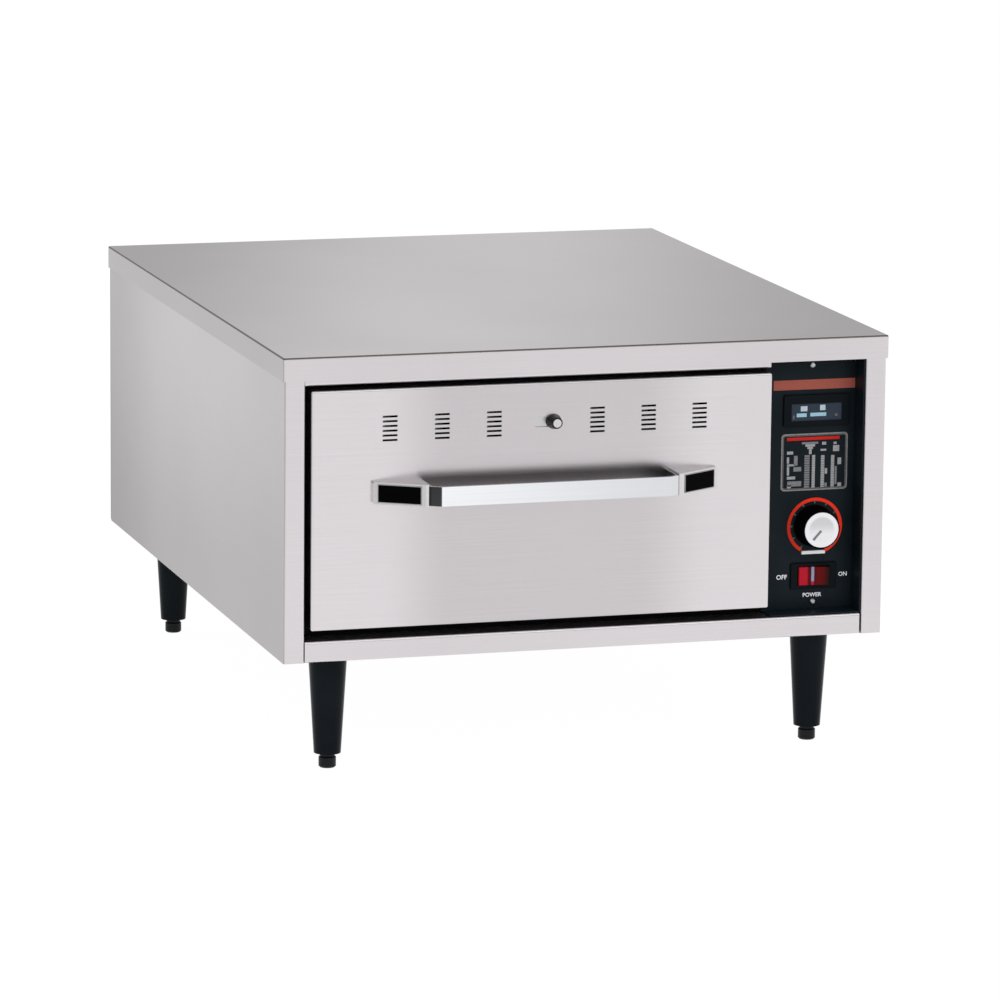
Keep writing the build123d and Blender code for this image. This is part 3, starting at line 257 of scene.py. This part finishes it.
def lid_painted_light(tree, base):
    """Lid with painted light and shade: a painted dark line along the folds round its top, a broad
    painted sheen across it and darker sides.
    """
    look = tree.facing()["Z"]
    # painted shade along the folds
    fold_shade = tree.product(tree.fade(look, 0.10, 0.30, 0, 1), tree.fade(look, 0.90, TOP_LOOK, 1, 0))
    base = tree.blend(fold_shade, base, FOLD_SHADE_TONE)
    place = tree.place()
    # painted sheen across the flat of the top
    across = tree.maths("SUBTRACT", place["X"], tree.product(place["Y"], SHEEN_SLANT))
    wave = tree.noise(scale=4.0, detail=1.0, roughness=0.4, stretch=(1.6, 0.5, 1))
    sheen = tree.product(
        tree.fade(across, *SHEEN_LEFT),
        tree.fade(across, *SHEEN_RIGHT),
        tree.span(wave, 0.95, 1.05),
    )
    top = tree.maths("GREATER_THAN", look, TOP_LOOK)
    lit = tree.maths("ADD", tree.product(top, sheen), tree.rest(top))
    # painted shade: the sides of the lid are darker
    skirt_shade = tree.fade(tree.maths("ABSOLUTE", tree.facing()["X"]), 0.5, 0.9, 1.0, 0.84)
    return tree.scaled(base, tree.product(lit, skirt_shade))


def side_painted_light(tree, base):
    """Side panels with painted light and shade: paler towards the top, darker towards the back and
    the front corner.
    """
    place = tree.place()
    tone = tree.product(
        tree.fade(place["Z"], *SIDE_RISE),
        tree.fade(place["Y"], *SIDE_REAR),
        tree.fade(place["Y"], *SIDE_CORNER),
    )
    side = tree.fade(tree.maths("ABSOLUTE", tree.facing()["X"]), 0.5, 0.9, 0, 1)
    return tree.scaled(base, tree.maths("ADD", tree.product(side, tone), tree.rest(side)))


def face_painted_shadow(tree, base):
    """Drawer face: painted shadow of the handle, a broad soft darker stretch behind it, between its
    brackets.
    """
    place = tree.place()
    left = tree.fade(place["X"], front_mid - 0.155, front_mid - 0.085, 0, 1)
    right = tree.fade(place["X"], front_mid + 0.085, front_mid + 0.165, 1, 0)
    front = tree.fade(place["Y"], front_y + 0.001, front_y + 0.003, 1, 0)
    return tree.scaled(base, tree.rest(tree.product(left, right, FACE_SHADE, front)))


def liner_painted_shade(tree, base):
    """Oven liner: painted shade, black on its front flange and on whatever else of this steel lies
    near the front, where the gaps round the drawer are in shadow.
    """
    near = tree.fade(tree.place()["Y"], front_y + 0.040, front_y + 0.060, 1, 0)
    return tree.blend(near, base, FLANGE_SHADE_BLACK)


def strap_painted_light(tree, base):
    """Handle strap with painted light: a painted sheen along its bright outside, painted shade on
    its inside, and a painted dark reflection on its left slant.
    """
    look = tree.facing()
    base = tree.blend(tree.fade(look["Y"], 0.15, 0.45, 0, 1), base, STRAP_INSIDE_SHADE)
    sheen = tree.fade(tree.place()["X"], front_mid - 0.12, front_mid + 0.11, 1.10, 0.88)
    # painted reflection: the left slant near black
    left = tree.fade(look["X"], -0.40, -0.15, 0.07, 1.0)
    return tree.scaled(base, tree.product(sheen, left))


def disc_painted_shade(tree, base):
    """Knob disc: painted shade, greyer above its middle, with the rim left bright."""
    place = tree.place()
    over = tree.maths("SUBTRACT", place["Z"], knob_z)
    across = tree.maths("SUBTRACT", place["X"], control_x)
    spread = tree.maths("ADD", tree.product(over, over), tree.product(across, across))
    inner = tree.fade(spread, DISC_SHADE_RADIUS**2, DISC_SHADE_EDGE**2, 1, 0)
    return tree.scaled(base, tree.rest(tree.product(tree.fade(over, *DISC_SHADE), inner)))


def knob_finish(tree, base):
    """Vent knob: pale turned face, dark sides."""
    return tree.blend(tree.fade(tree.facing()["Y"], -0.97, -0.80, 0, 1), base, KNOB_SIDE)


# ------------------------------------------------------------------ plastic, paint, wool, ink
def plastic(name, colour, rough=0.45, strength=0.10, shine=0.5):
    """Moulded plastic with a fine spark texture."""
    tree = material_tree(name)
    spark = tree.noise(scale=900.0, detail=2.0, roughness=0.5)
    tone = tree.noise(scale=30.0, detail=2.0, roughness=0.5)
    low = tuple(c * 0.85 for c in colour)
    high = tuple(min(1.0, c * 1.15) for c in colour)
    return tree.surface(
        Base_Color=tree.ramp(tone, [(0.3, low), (0.7, high)]),
        Specular_IOR_Level=shine,
        Roughness=tree.span(spark, rough - 0.06, rough + 0.08),
        Normal=tree.bump(spark, strength),
    )


def paint(name, colour, rough, strength=0.15, metallic=0.0, shine=0.5):
    """Powder coat with a slight orange peel and dusty, uneven sheen."""
    tree = material_tree(name)
    peel = tree.noise(scale=150.0, detail=2.0, roughness=0.5)
    dust = tree.noise(scale=14.0, detail=4.0, roughness=0.6)
    dusty = tuple(min(1.0, c * 1.5 + 0.004) for c in colour)
    return tree.surface(
        Base_Color=tree.ramp(dust, [(0.35, colour), (0.75, dusty)]),
        Metallic=metallic,
        Specular_IOR_Level=shine,
        Roughness=tree.span(dust, rough - 0.05, rough + 0.10),
        Normal=tree.bump(peel, strength),
    )


def fibre(name, colour):
    """Yellow-brown mineral wool."""
    tree = material_tree(name)
    strands = tree.noise(scale=1.0, detail=6.0, roughness=0.7, stretch=(60, 60, 300))
    dark = tuple(c * 0.55 for c in colour)
    return tree.surface(
        Base_Color=tree.ramp(strands, [(0.3, dark), (0.7, colour)]),
        Roughness=tree.span(strands, 0.85, 1.0),
        Normal=tree.bump(strands, 0.8, 1.0 * MM),
    )


def print_ink(name, colour, wear=0.25, glow=0.0, painted_shade_left=1.0):
    """Screen-printed ink, a little uneven; a painted glow can brighten it and painted shade can
    darken it to the left.
    """
    tree = material_tree(name)
    patch = tree.noise(scale=700.0, detail=2.0, roughness=0.6)
    worn = tuple(c * (1 - wear) for c in colour)
    tone = tree.ramp(patch, [(0.25, worn), (0.6, colour)])
    # painted shade, darker towards the left of the knob
    shade_start, shade_end = control_x - 28 * MM, control_x - 4 * MM
    shade = tree.fade(tree.place()["X"], shade_start, shade_end, painted_shade_left, 1.0)
    tone = tree.scaled(tone, shade)
    return tree.surface(
        Base_Color=tone,
        Specular_IOR_Level=0.25,
        Roughness=tree.span(patch, 0.45, 0.55),
        Emission_Color=tone,
        Emission_Strength=glow,
    )


def lit_print(name, colour, glow):
    """Segments of a lit display."""
    tree = material_tree(name)
    patch = tree.noise(scale=900.0, detail=1.0, roughness=0.5)
    tone = tree.ramp(patch, [(0.2, tuple(c * 0.8 for c in colour)), (0.7, colour)])
    return tree.surface(
        Base_Color=tone,
        Roughness=tree.span(patch, 0.3, 0.4),
        Emission_Color=tone,
        Emission_Strength=glow,
    )


def glass_screen():
    """Blue-grey display face with a faint pixel grid."""
    tree = material_tree("display_glass")
    dots = {"Scale": 1400.0, "Color1": (0.020, 0.034, 0.056), "Color2": (0.027, 0.044, 0.070)}
    grid = tree.add("ShaderNodeTexChecker", {"Vector": tree.coords(), **dots})
    patch = tree.noise(scale=60.0, detail=2.0, roughness=0.5)
    tone = tree.blend(tree.span(patch, 0.0, 0.6), grid.outputs["Color"], (0.045, 0.065, 0.095))
    return tree.surface(
        Base_Color=tone, Roughness=tree.span(patch, 0.12, 0.2), Specular_IOR_Level=0.15
    )


# Colours of the rocker from its lit left end to its shaded right end, as painted light and shade,
# and of the painted glint on it
KEY_STOPS = [
    (0.00, (0.28, 0.004, 0.006)),
    (0.06, (0.60, 0.010, 0.030)),
    (0.27, (0.60, 0.010, 0.030)),
    (0.32, (0.12, 0.0006, 0.002)),
    (0.50, (0.10, 0.0006, 0.001)),
    (0.62, (0.16, 0.0006, 0.001)),
    (0.78, (0.12, 0.0004, 0.001)),
    (0.95, (0.006, 0.001, 0.001)),
]
GLINT_LOW = (0.60, 0.008, 0.06)
GLINT_HIGH = (0.34, 0.40, 0.62)


def red_key():
    """Translucent red rocker with painted light and shade: bright left part, painted pale glint in
    the middle, dark right part.
    """
    tree = material_tree("red_key")
    place = tree.place()
    patch = tree.noise(scale=160.0, detail=2.0, roughness=0.5)
    across = tree.remap(place["X"], rocker_lo.x, rocker_hi.x, 0, 1)
    glint = tree.product(tree.fade(across, 0.40, 0.42, 0, 1), tree.fade(across, 0.49, 0.51, 1, 0))
    height = rocker_hi.z - rocker_lo.z
    start, end = (rocker_lo.z + share * height for share in (0.22, 0.30))
    line = tree.blend(tree.fade(place["Z"], start, end, 0, 1), GLINT_LOW, GLINT_HIGH)
    tone = tree.blend(glint, tree.ramp(across, KEY_STOPS), line)
    return tree.surface(
        Base_Color=tree.scaled(tone, tree.span(patch, 0.85, 1.15)),
        Roughness=tree.span(patch, 0.18, 0.26),
        Specular_IOR_Level=0.1,
    )


# ------------------------------------------------------------------ materials
stainless = brushed("stainless", STEEL)
side_steel = brushed("side_steel", STEEL, finish=side_painted_light)
lid_steel = brushed("lid_steel", STEEL, finish=lid_painted_light)
face_steel = brushed("face_steel", STEEL, rough=(0.20, 0.25), cloud=0.02, finish=face_painted_shadow)
liner = brushed("liner_steel", (0.50, 0.49, 0.48), rough=(0.34, 0.46), finish=liner_painted_shade)
pan_metal = brushed("pan_steel", (0.60, 0.60, 0.59), rough=(0.22, 0.34))
slide_metal = brushed("slide_steel", (0.45, 0.46, 0.47), rough=(0.32, 0.42))
screw_metal = brushed("screw_steel", (0.55, 0.57, 0.57), rough=(0.28, 0.38))
polished = brushed(
    "polished_steel", (0.74, 0.75, 0.78), rough=(0.05, 0.09), cloud=0.02, finish=strap_painted_light
)
cast = brushed("cast_handle", (0.66, 0.64, 0.65), rough=(0.20, 0.26), bump=0.02)
bright = brushed(
    "bright_disc", (0.86, 0.85, 0.88), rough=(0.26, 0.34), cloud=0.03, finish=disc_painted_shade
)
vent_knob_steel = brushed(
    "vent_knob_steel", (0.70, 0.69, 0.69), rough=(0.3, 0.4), finish=knob_finish
)
label_black = plastic("black_label", (0.001, 0.001, 0.001), rough=0.4, strength=0.03, shine=0.02)
panel_paint = paint("panel_black", (0.005, 0.010, 0.014), rough=0.42, strength=0.05, shine=0.10)
black_plastic = plastic("black_plastic", (0.004, 0.007, 0.009), rough=0.45, shine=0.08)
knob_plastic = plastic("knob_plastic", (0.002, 0.002, 0.0025), rough=0.85, shine=0.02)
leg_paint = paint("leg_black", (0.002, 0.005, 0.008), rough=0.20, strength=0.04, shine=0.08)
foot_plastic = plastic("foot_black", (0.005, 0.007, 0.010), rough=0.38, shine=0.2)
wool = fibre("insulation", (0.72, 0.60, 0.28))
sheath = paint("element_sheath", (0.10, 0.095, 0.09), rough=0.5, metallic=0.8)
copper = brushed("capillary_copper", (0.72, 0.38, 0.25))
brass = brushed("brass", (0.72, 0.55, 0.26))
nylon = plastic("roller_nylon", (0.80, 0.79, 0.74), rough=0.45)
gland_plastic = plastic("gland_nylon", (0.02, 0.02, 0.02), rough=0.4)

SLOTS = {
    "stainless": stainless,
    "liner_steel": liner,
    "pan_steel": pan_metal,
    "slide_steel": slide_metal,
    "screw_steel": screw_metal,
    "polished_steel": polished,
    "cast_handle": cast,
    "black_label": label_black,
    "panel_black": panel_paint,
    "black_plastic": black_plastic,
    "bright_disc": bright,
    "vent_knob_metal": vent_knob_steel,
    "insulation": wool,
    "element_sheath": sheath,
    "capillary_copper": copper,
    "brass": brass,
    "roller_nylon": nylon,
    "gland_nylon": gland_plastic,
    "leg_black": leg_paint,
    "foot_black": foot_plastic,
    "display_glass": glass_screen(),
    "red_key": red_key(),
}

# Own materials of some pieces; those of the lid, the drawer face and the side panels carry painted
# light and shade.
FINISHES = {
    "top_cover": lid_steel,
    "drawer_front": face_steel,
    "left_side_panel": side_steel,
    "right_side_panel": side_steel,
    "control_knob": knob_plastic,
}
slot_of = {row["node"]: row["material_slot"] for row in frame["record"]["subparts"]}
for node, thing in frame["nodes"].items():
    thing.data.materials.clear()
    thing.data.materials.append(FINISHES.get(node, SLOTS[slot_of[node]]))
    for polygon in thing.data.polygons:
        polygon.material_index = 0

# The glow given to these inks is painted light; the print is no lamp.
white_ink = print_ink("white_ink", (0.86, 0.86, 0.90), wear=0.15, glow=0.25)
grey_ink = print_ink("grey_ink", (0.42, 0.42, 0.43), glow=0.04)
soft_ink = print_ink("soft_ink", (0.26, 0.26, 0.28))
frame_ink = print_ink("frame_ink", (0.33, 0.33, 0.33), wear=0.45)
line_ink = print_ink("line_ink", (0.17, 0.165, 0.165))
mint_ink = print_ink("mint_ink", (0.10, 0.15, 0.12))
red_ink = print_ink("red_ink", (0.62, 0.012, 0.006), glow=0.10)
dial_ink = print_ink("dial_ink", (0.90, 0.030, 0.006), wear=0.12, glow=0.20, painted_shade_left=0.60)
salmon_ink = print_ink("salmon_ink", (0.47, 0.115, 0.080), wear=0.15)
glow_ink = lit_print("display_marks", (0.30, 0.52, 0.62), 0.30)
glow_soft = lit_print("display_dots", (0.48, 0.56, 0.64), 0.22)


# ------------------------------------------------------------------ flat printed pieces
INK = 0.15 * MM  # thickness of the print
CORNER_STEPS = 4  # straight bits in a rounded corner
BLOCKS_X, BLOCKS_Z = -0.7, 0.7  # shift of all blocks to the right and up, in millimetres


def new_piece(name, mesh, material):
    piece = bpy.data.objects.new(name, mesh)
    bpy.context.collection.objects.link(piece)
    mesh.materials.clear()
    mesh.materials.append(material)
    return piece


def plates(name, rings, material):
    """One piece of closed plates, each between a ring of corners and a ring lifted off it."""
    mesh = bpy.data.meshes.new(name)
    build = bmesh.new()
    for under, over in rings:
        low_ring = [build.verts.new(corner) for corner in under]
        top_ring = [build.verts.new(corner) for corner in over]
        build.faces.new(top_ring)
        build.faces.new(list(reversed(low_ring)))
        for i in range(len(under)):
            j = (i + 1) % len(under)
            build.faces.new((top_ring[j], top_ring[i], low_ring[i], low_ring[j]))
    bmesh.ops.recalc_face_normals(build, faces=build.faces)
    build.to_mesh(mesh)
    build.free()
    return new_piece(name, mesh, material)


def printed(name, outlines, material, y=panel_y, body="cabinet"):
    """Ink on a surface at y that faces the front, in the shape of the outlines."""
    rings = [
        ([(x, y, z) for x, z in outline], [(x, y - INK, z) for x, z in outline])
        for outline in outlines
    ]
    piece = plates(name, rings, material)
    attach(piece, body)


def rectangle(x0, z0, x1, z1, round_by=0.0):
    """Outline of a rectangle, with rounded corners if asked."""
    if round_by <= 0:
        return [(x0, z0), (x1, z0), (x1, z1), (x0, z1)]
    points = []
    for cx, cz, start in (
        (x1 - round_by, z0 + round_by, -90),
        (x1 - round_by, z1 - round_by, 0),
        (x0 + round_by, z1 - round_by, 90),
        (x0 + round_by, z0 + round_by, 180),
    ):
        for k in range(CORNER_STEPS + 1):
            angle = math.radians(start + 90 * k / CORNER_STEPS)
            points.append((cx + round_by * math.cos(angle), cz + round_by * math.sin(angle)))
    return points


def arc_band(cx, cz, inner, outer, start, end, steps):
    """Outline of part of a ring, angles in degrees anticlockwise from +x."""
    angles = [math.radians(start + (end - start) * k / steps) for k in range(steps + 1)]
    ring = [(cx + outer * math.cos(a), cz + outer * math.sin(a)) for a in angles]
    ring += [(cx + inner * math.cos(a), cz + inner * math.sin(a)) for a in reversed(angles)]
    return ring


def frame_outline(x0, z0, x1, z1, width, round_by):
    """Frame with rounded corners, as short four-sided bands that meet all the way round."""
    outer = rectangle(x0, z0, x1, z1, round_by)
    inner = rectangle(x0 + width, z0 + width, x1 - width, z1 - width, round_by - width / 2)
    bands = []
    for i in range(len(outer)):
        j = (i + 1) % len(outer)
        bands.append([outer[i], outer[j], inner[j], inner[i]])
    return bands


def spoke(cx, cz, degrees, inner, outer, width):
    """A straight thin line on a ray from a centre, between two radii."""
    angle = math.radians(degrees)
    start = Vector((cx + inner * math.cos(angle), cz + inner * math.sin(angle)))
    end = Vector((cx + outer * math.cos(angle), cz + outer * math.sin(angle)))
    along = (end - start).normalized()
    side = Vector((-along.y, along.x)) * width / 2
    return [tuple(corner) for corner in (start + side, end + side, end - side, start - side)]


def in_millimetres(rows, round_by=0.0, right=0.0, up=0.0):
    """Rectangles in metres from left, right, low and high edges in millimetres."""
    return [
        rectangle((x0 + right) * MM, (z0 + up) * MM, (x1 + right) * MM, (z1 + up) * MM, round_by)
        for x0, x1, z0, z1 in rows
    ]


def blocks(name, rows, material):
    """Plain printed blocks on the panel, from their edges in millimetres."""
    printed(name, in_millimetres(rows, right=BLOCKS_X, up=BLOCKS_Z), material)


def column(x0, x1, low, high):
    """Fourteen rows of one mark, like the figures of a table."""
    return [(x0, x1, low + 2.2 * k, high + 2.2 * k) for k in range(14)]


# Salmon band across the panel's top. The bare strip above it keeps the panel's own finish.
BAND_LOW, BAND_HIGH = 334.2 * MM, 343.3 * MM
band_left, band_right = control_x - 41.6 * MM, panel_right - 1.2 * MM
printed("panel_band", [rectangle(band_left, BAND_LOW, band_right, BAND_HIGH)], salmon_ink)

# Chart: a rounded double frame, a red heading and columns of plain marks
CHART = (192.9 * MM, 239.9 * MM, 257.5 * MM, 293.1 * MM)  # left, low, right and high edge
CHART_INSET = 1.7 * MM  # from the outer frame to the inner one
chart_inside = [edge + CHART_INSET * way for edge, way in zip(CHART, (1, 1, -1, -1))]

printed("chart_frame", frame_outline(*CHART, 1.3 * MM, 3.4 * MM), frame_ink)
printed("chart_frame_inner", frame_outline(*chart_inside, 0.7 * MM, 1.9 * MM), line_ink)
blocks("chart_heading", [(198.9, 250.2, 286.1, 289.0)], red_ink)
blocks(
    "chart_marks_soft",
    [(206.1, 209.6, 262.9, 271.9), (205.8, 213.3, 257.3, 261.4), (200.0, 213.6, 243.4, 248.2)]
    + column(216.4, 221.4, 241.8, 243.5)
    + [(246.0, 248.0, 243.8, 260.8), (236.2, 238.6, 242.0, 245.6), (213.6, 229.4, 282.4, 284.4)],
    soft_ink,
)
blocks(
    "chart_marks",
    [(199.2, 205.2, 273.4, 276.2), (199.2, 201.4, 265.0, 270.8), (199.4, 207.2, 262.4, 264.2)]
    + [(199.4, 201.6, 253.8, 262.0), (199.5, 207.6, 250.0, 252.7), (199.8, 203.6, 241.8, 244.8)]
    + column(223.7, 226.7, 241.4, 243.4)
    + column(232.4, 235.8, 241.0, 242.9)
    + column(242.2, 245.4, 240.6, 242.6)
    + [(236.3, 238.7, 254.0, 259.2), (248.6, 252.2, 262.4, 268.6), (249.0, 252.6, 241.8, 245.2)]
    + [(217.0, 226.4, 280.0, 282.2), (219.0, 224.4, 277.8, 279.8), (220.6, 223.2, 273.0, 277.6)]
    + [(233.2, 237.2, 281.2, 284.0), (231.8, 237.4, 275.6, 277.4)]
    + [(244.4, 247.4, 281.4, 283.6), (244.0, 250.0, 274.8, 280.4)],
    grey_ink,
)

# Dial: red ring with a gap below, small pale ticks inside it and a plain plate under it
dial_x, dial_z = control_x + 0.8 * MM, knob_z - 0.6 * MM
DIAL_INNER, DIAL_OUTER = 23.7 * MM, 26.8 * MM
TICK_INNER, TICK_OUTER, TICK_WIDTH = 21.6 * MM, 24.2 * MM, 1.4 * MM
dial_ring = arc_band(dial_x, dial_z, DIAL_INNER, DIAL_OUTER, start=-65, end=239, steps=72)
printed("dial_arc", [dial_ring], dial_ink)
ticks = [
    spoke(dial_x, dial_z, 236 - 29 * k, TICK_INNER, TICK_OUTER, TICK_WIDTH) for k in range(8)
]
printed("dial_ticks", ticks, mint_ink, y=panel_y - INK)
blocks("dial_plate_edge", [(214.6, 237.6, 179.0, 182.9)], line_ink)
dial_plate = in_millimetres([(214.7, 237.4, 180.0, 182.9)], 0.6 * MM)
printed("dial_plate", dial_plate, white_ink, y=panel_y - INK)


def words(name, text, x, z, height):
    """Raised generic lettering on the panel, centred on x and z."""
    curve = bpy.data.curves.new(name, "FONT")
    curve.body = text
    curve.size = height * 1.42  # the font's size is larger than its capitals
    curve.align_x = "CENTER"
    curve.align_y = "CENTER"
    curve.extrude = INK / 2
    curve.offset = 0.10 * MM
    curve.resolution_u = 3
    holder = bpy.data.objects.new(name + "_curve", curve)
    bpy.context.collection.objects.link(holder)
    bpy.context.view_layer.update()
    mesh = bpy.data.meshes.new_from_object(holder)
    bpy.data.objects.remove(holder)
    place = Matrix.Translation((x, panel_y - INK / 2, z))
    mesh.transform(place @ Matrix.Rotation(math.radians(90), 4, "X"))
    piece = new_piece(name, mesh, white_ink)
    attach(piece, "cabinet")


words("word_off", "OFF", 195.5 * MM, switch_z - 0.9 * MM, 4.2 * MM)
words("word_on", "ON", 255.2 * MM, switch_z - 0.4 * MM, 3.8 * MM)
words("word_power", "POWER", 225.4 * MM, 141.4 * MM, 3.7 * MM)


def screen(name, rows, material):
    """Lit segments on the face of the display window, from their edges in millimetres."""
    printed(name, in_millimetres(rows, 0.3 * MM), material, y=screen_y)


screen("display_bars", [(206.8, 216.4, 308.9, 312.3), (220.0, 235.4, 309.2, 312.5)], glow_ink)
screen("display_digits", [(210.6, 217.0, 314.2, 318.9), (229.3, 234.5, 314.6, 319.6)], glow_soft)
screen("display_edge_marks", [(203.1, 204.7, 307.1, 310.6), (244.0, 246.4, 308.8, 311.0)], line_ink)

# Pointer on the knob's disc
pointer = spoke(control_x, knob_z, 228, 0.8 * MM, 12.2 * MM, 2.3 * MM)
printed("knob_pointer", [pointer], soft_ink, y=disc_lo.y, body="thermostat_knob")

# Pale borders round the two bare labels, on the slanting faces of the handle's brackets
HANDLE_MID = front_mid + 1.4 * MM
LABEL_X, LABEL_Y = 141.15 * MM, front_y - 17.25 * MM  # middle of a label, from the handle's middle
LABEL_WIDTH, LABEL_HEIGHT, LABEL_CORNER = 41.0 * MM, 17.0 * MM, 1.2 * MM
SLANT_RUN, SLANT_RISE = 42.3 * MM, 25.5 * MM  # how far the face goes across and to the front
LABEL_OUT = 0.3 * MM  # from there out to the label's face
LINE_WIDTH, LINE_LIFT = 0.7 * MM, 0.10 * MM


def label_border(name, side):
    along = Vector((SLANT_RUN, side * SLANT_RISE, 0)).normalized()
    out = Vector((side * SLANT_RISE, -SLANT_RUN, 0)).normalized()
    up = Vector((0, 0, 1))
    middle_z = (labels_lo.z + labels_hi.z) / 2
    centre = Vector((HANDLE_MID + side * LABEL_X, LABEL_Y, middle_z)) + out * LABEL_OUT
    half_width, half_height = LABEL_WIDTH / 2, LABEL_HEIGHT / 2
    edges = (-half_width, -half_height, half_width, half_height)
    rings = []
    for band in frame_outline(*edges, LINE_WIDTH, LABEL_CORNER):
        under = [centre + along * u + up * v for u, v in band]
        rings.append((under, [corner + out * LINE_LIFT for corner in under]))
    piece = plates(name, rings, grey_ink)
    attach(piece, "drawer")


label_border("label_border_left", -1)
label_border("label_border_right", 1)

# ------------------------------------------------------------------ floor, light and camera
FLOOR_REACH = 12.0
FLOOR_DROP = 0.4 * MM  # under the feet, so that they don't share a plane with it
FLOOR_GLOW = 1.04  # brightness of the floor for the camera
FLOOR_GLOW_SHARE = 0.94  # the rest is the matt floor, with its soft shadow
LEFT_DARK = 0.70  # how much darker metal shows the stretch on the left
AIM = (0, 0, 0.2)  # where the lights point


def floor_material():
    """Pale floor: white behind the object, and shaded where polished metal mirrors it."""
    tree = material_tree("floor")
    place = tree.place()
    patch = tree.noise(scale=2.0, detail=2.0, roughness=0.5)
    matt = tree.add("ShaderNodeBsdfDiffuse", {"Color": tree.span(patch, 0.84, 0.86)})
    left = tree.product(
        tree.fade(place["X"], -1.40, -0.95, 1, 0),
        tree.fade(place["Y"], -0.5, -0.2, 1, 0),
        tree.fade(place["Y"], -1.9, -1.6, 0, 1),
    )
    depth = tree.fade(place["Y"], -0.9, 0.9, 1.10, 0.80)
    level = tree.product(depth, tree.rest(tree.product(left, LEFT_DARK)))
    mirrored = tree.add("ShaderNodeEmission", {"Strength": level})
    glow = tree.add("ShaderNodeEmission", {"Strength": FLOOR_GLOW})
    camera_ray, shiny_ray = tree.rays()
    behind = tree.mixed(shiny_ray, matt, mirrored)
    return tree.finish(tree.mixed(tree.product(camera_ray, FLOOR_GLOW_SHARE), behind, glow))


def studio(world):
    """White for the camera. Metal shows a darker stretch of it low in front."""
    tree = Tree(world, "ShaderNodeOutputWorld")
    way = tree.split(tree.add("ShaderNodeTexCoord").outputs["Generated"])
    front_low = tree.product(
        tree.fade(way["Y"], -0.8, -0.1, 1, 0), tree.fade(way["Z"], 0.25, 0.50, 1, 0)
    )
    upper = tree.fade(way["Z"], 0.0, 0.5, 0.82, 1.0)
    shaded = tree.product(upper, tree.fade(front_low, 0.0, 1.0, 1.0, 0.45))
    front_light = tree.fade(way["Y"], -1.0, 1.0, 1.0, 0.65)
    white = tree.add("ShaderNodeBackground", {"Color": (1, 1, 1), "Strength": 1.0})
    mirrored = tree.add("ShaderNodeBackground", {"Strength": shaded})  # for metal and glass
    room = tree.add("ShaderNodeBackground", {"Strength": front_light})  # for matt surfaces
    camera_ray, shiny_ray = tree.rays()
    return tree.finish(tree.mixed(camera_ray, tree.mixed(shiny_ray, room, mirrored), white))


def softbox(name, place, size, power):
    light = bpy.data.lights.new(name, "AREA")
    light.shape = "RECTANGLE"
    light.size, light.size_y = size
    light.energy = power
    lamp = bpy.data.objects.new(name, light)
    lamp.location = place
    lamp.rotation_euler = (Vector(AIM) - Vector(place)).to_track_quat("-Z", "Y").to_euler()
    bpy.context.collection.objects.link(lamp)


floor_mesh = bpy.data.meshes.new("floor")
build = bmesh.new()
ends = ((-1, -1), (1, -1), (1, 1), (-1, 1))
build.faces.new([build.verts.new((FLOOR_REACH * x, FLOOR_REACH * y, 0)) for x, y in ends])
build.to_mesh(floor_mesh)
build.free()
floor = new_piece("floor", floor_mesh, floor_material())
floor.location.z = -FLOOR_DROP

scene = bpy.context.scene
scene.world = studio(bpy.data.worlds.new("studio"))
scene.view_settings.view_transform = "Standard"
softbox("front_box", (1.2, -3.4, 1.9), (2.4, 1.6), 14)
softbox("top_box", (-0.4, 0.2, 3.2), (2.2, 2.2), 12)

# Camera solved from the photograph: focal length in pixels of a 1000 pixel frame, place and turn
FOCAL_PX = 5898.8
PHOTO_PX = 1000
SENSOR = 36.0
CAMERA_PLACE = (-1.5806, -5.0030 + front_y, 1.2512)
pitch, yaw, roll = (math.radians(v) for v in (10.859, -16.654, 0.571))
ahead = Vector(
    (-math.sin(yaw) * math.cos(pitch), math.cos(yaw) * math.cos(pitch), -math.sin(pitch))
)
right = Vector((math.cos(yaw), math.sin(yaw), 0))
above = right.cross(ahead)
right_rolled = math.cos(roll) * right + math.sin(roll) * above
above_rolled = -math.sin(roll) * right + math.cos(roll) * above
lens = bpy.data.cameras.new("camera")
lens.sensor_width = SENSOR
lens.sensor_fit = "HORIZONTAL"
lens.lens = FOCAL_PX * SENSOR / PHOTO_PX
lens.clip_end = 50
camera = bpy.data.objects.new("camera", lens)
turn = Matrix((right_rolled, above_rolled, -ahead)).transposed()
camera.matrix_world = Matrix.Translation(CAMERA_PLACE) @ turn.to_4x4()
bpy.context.collection.objects.link(camera)
scene.camera = camera
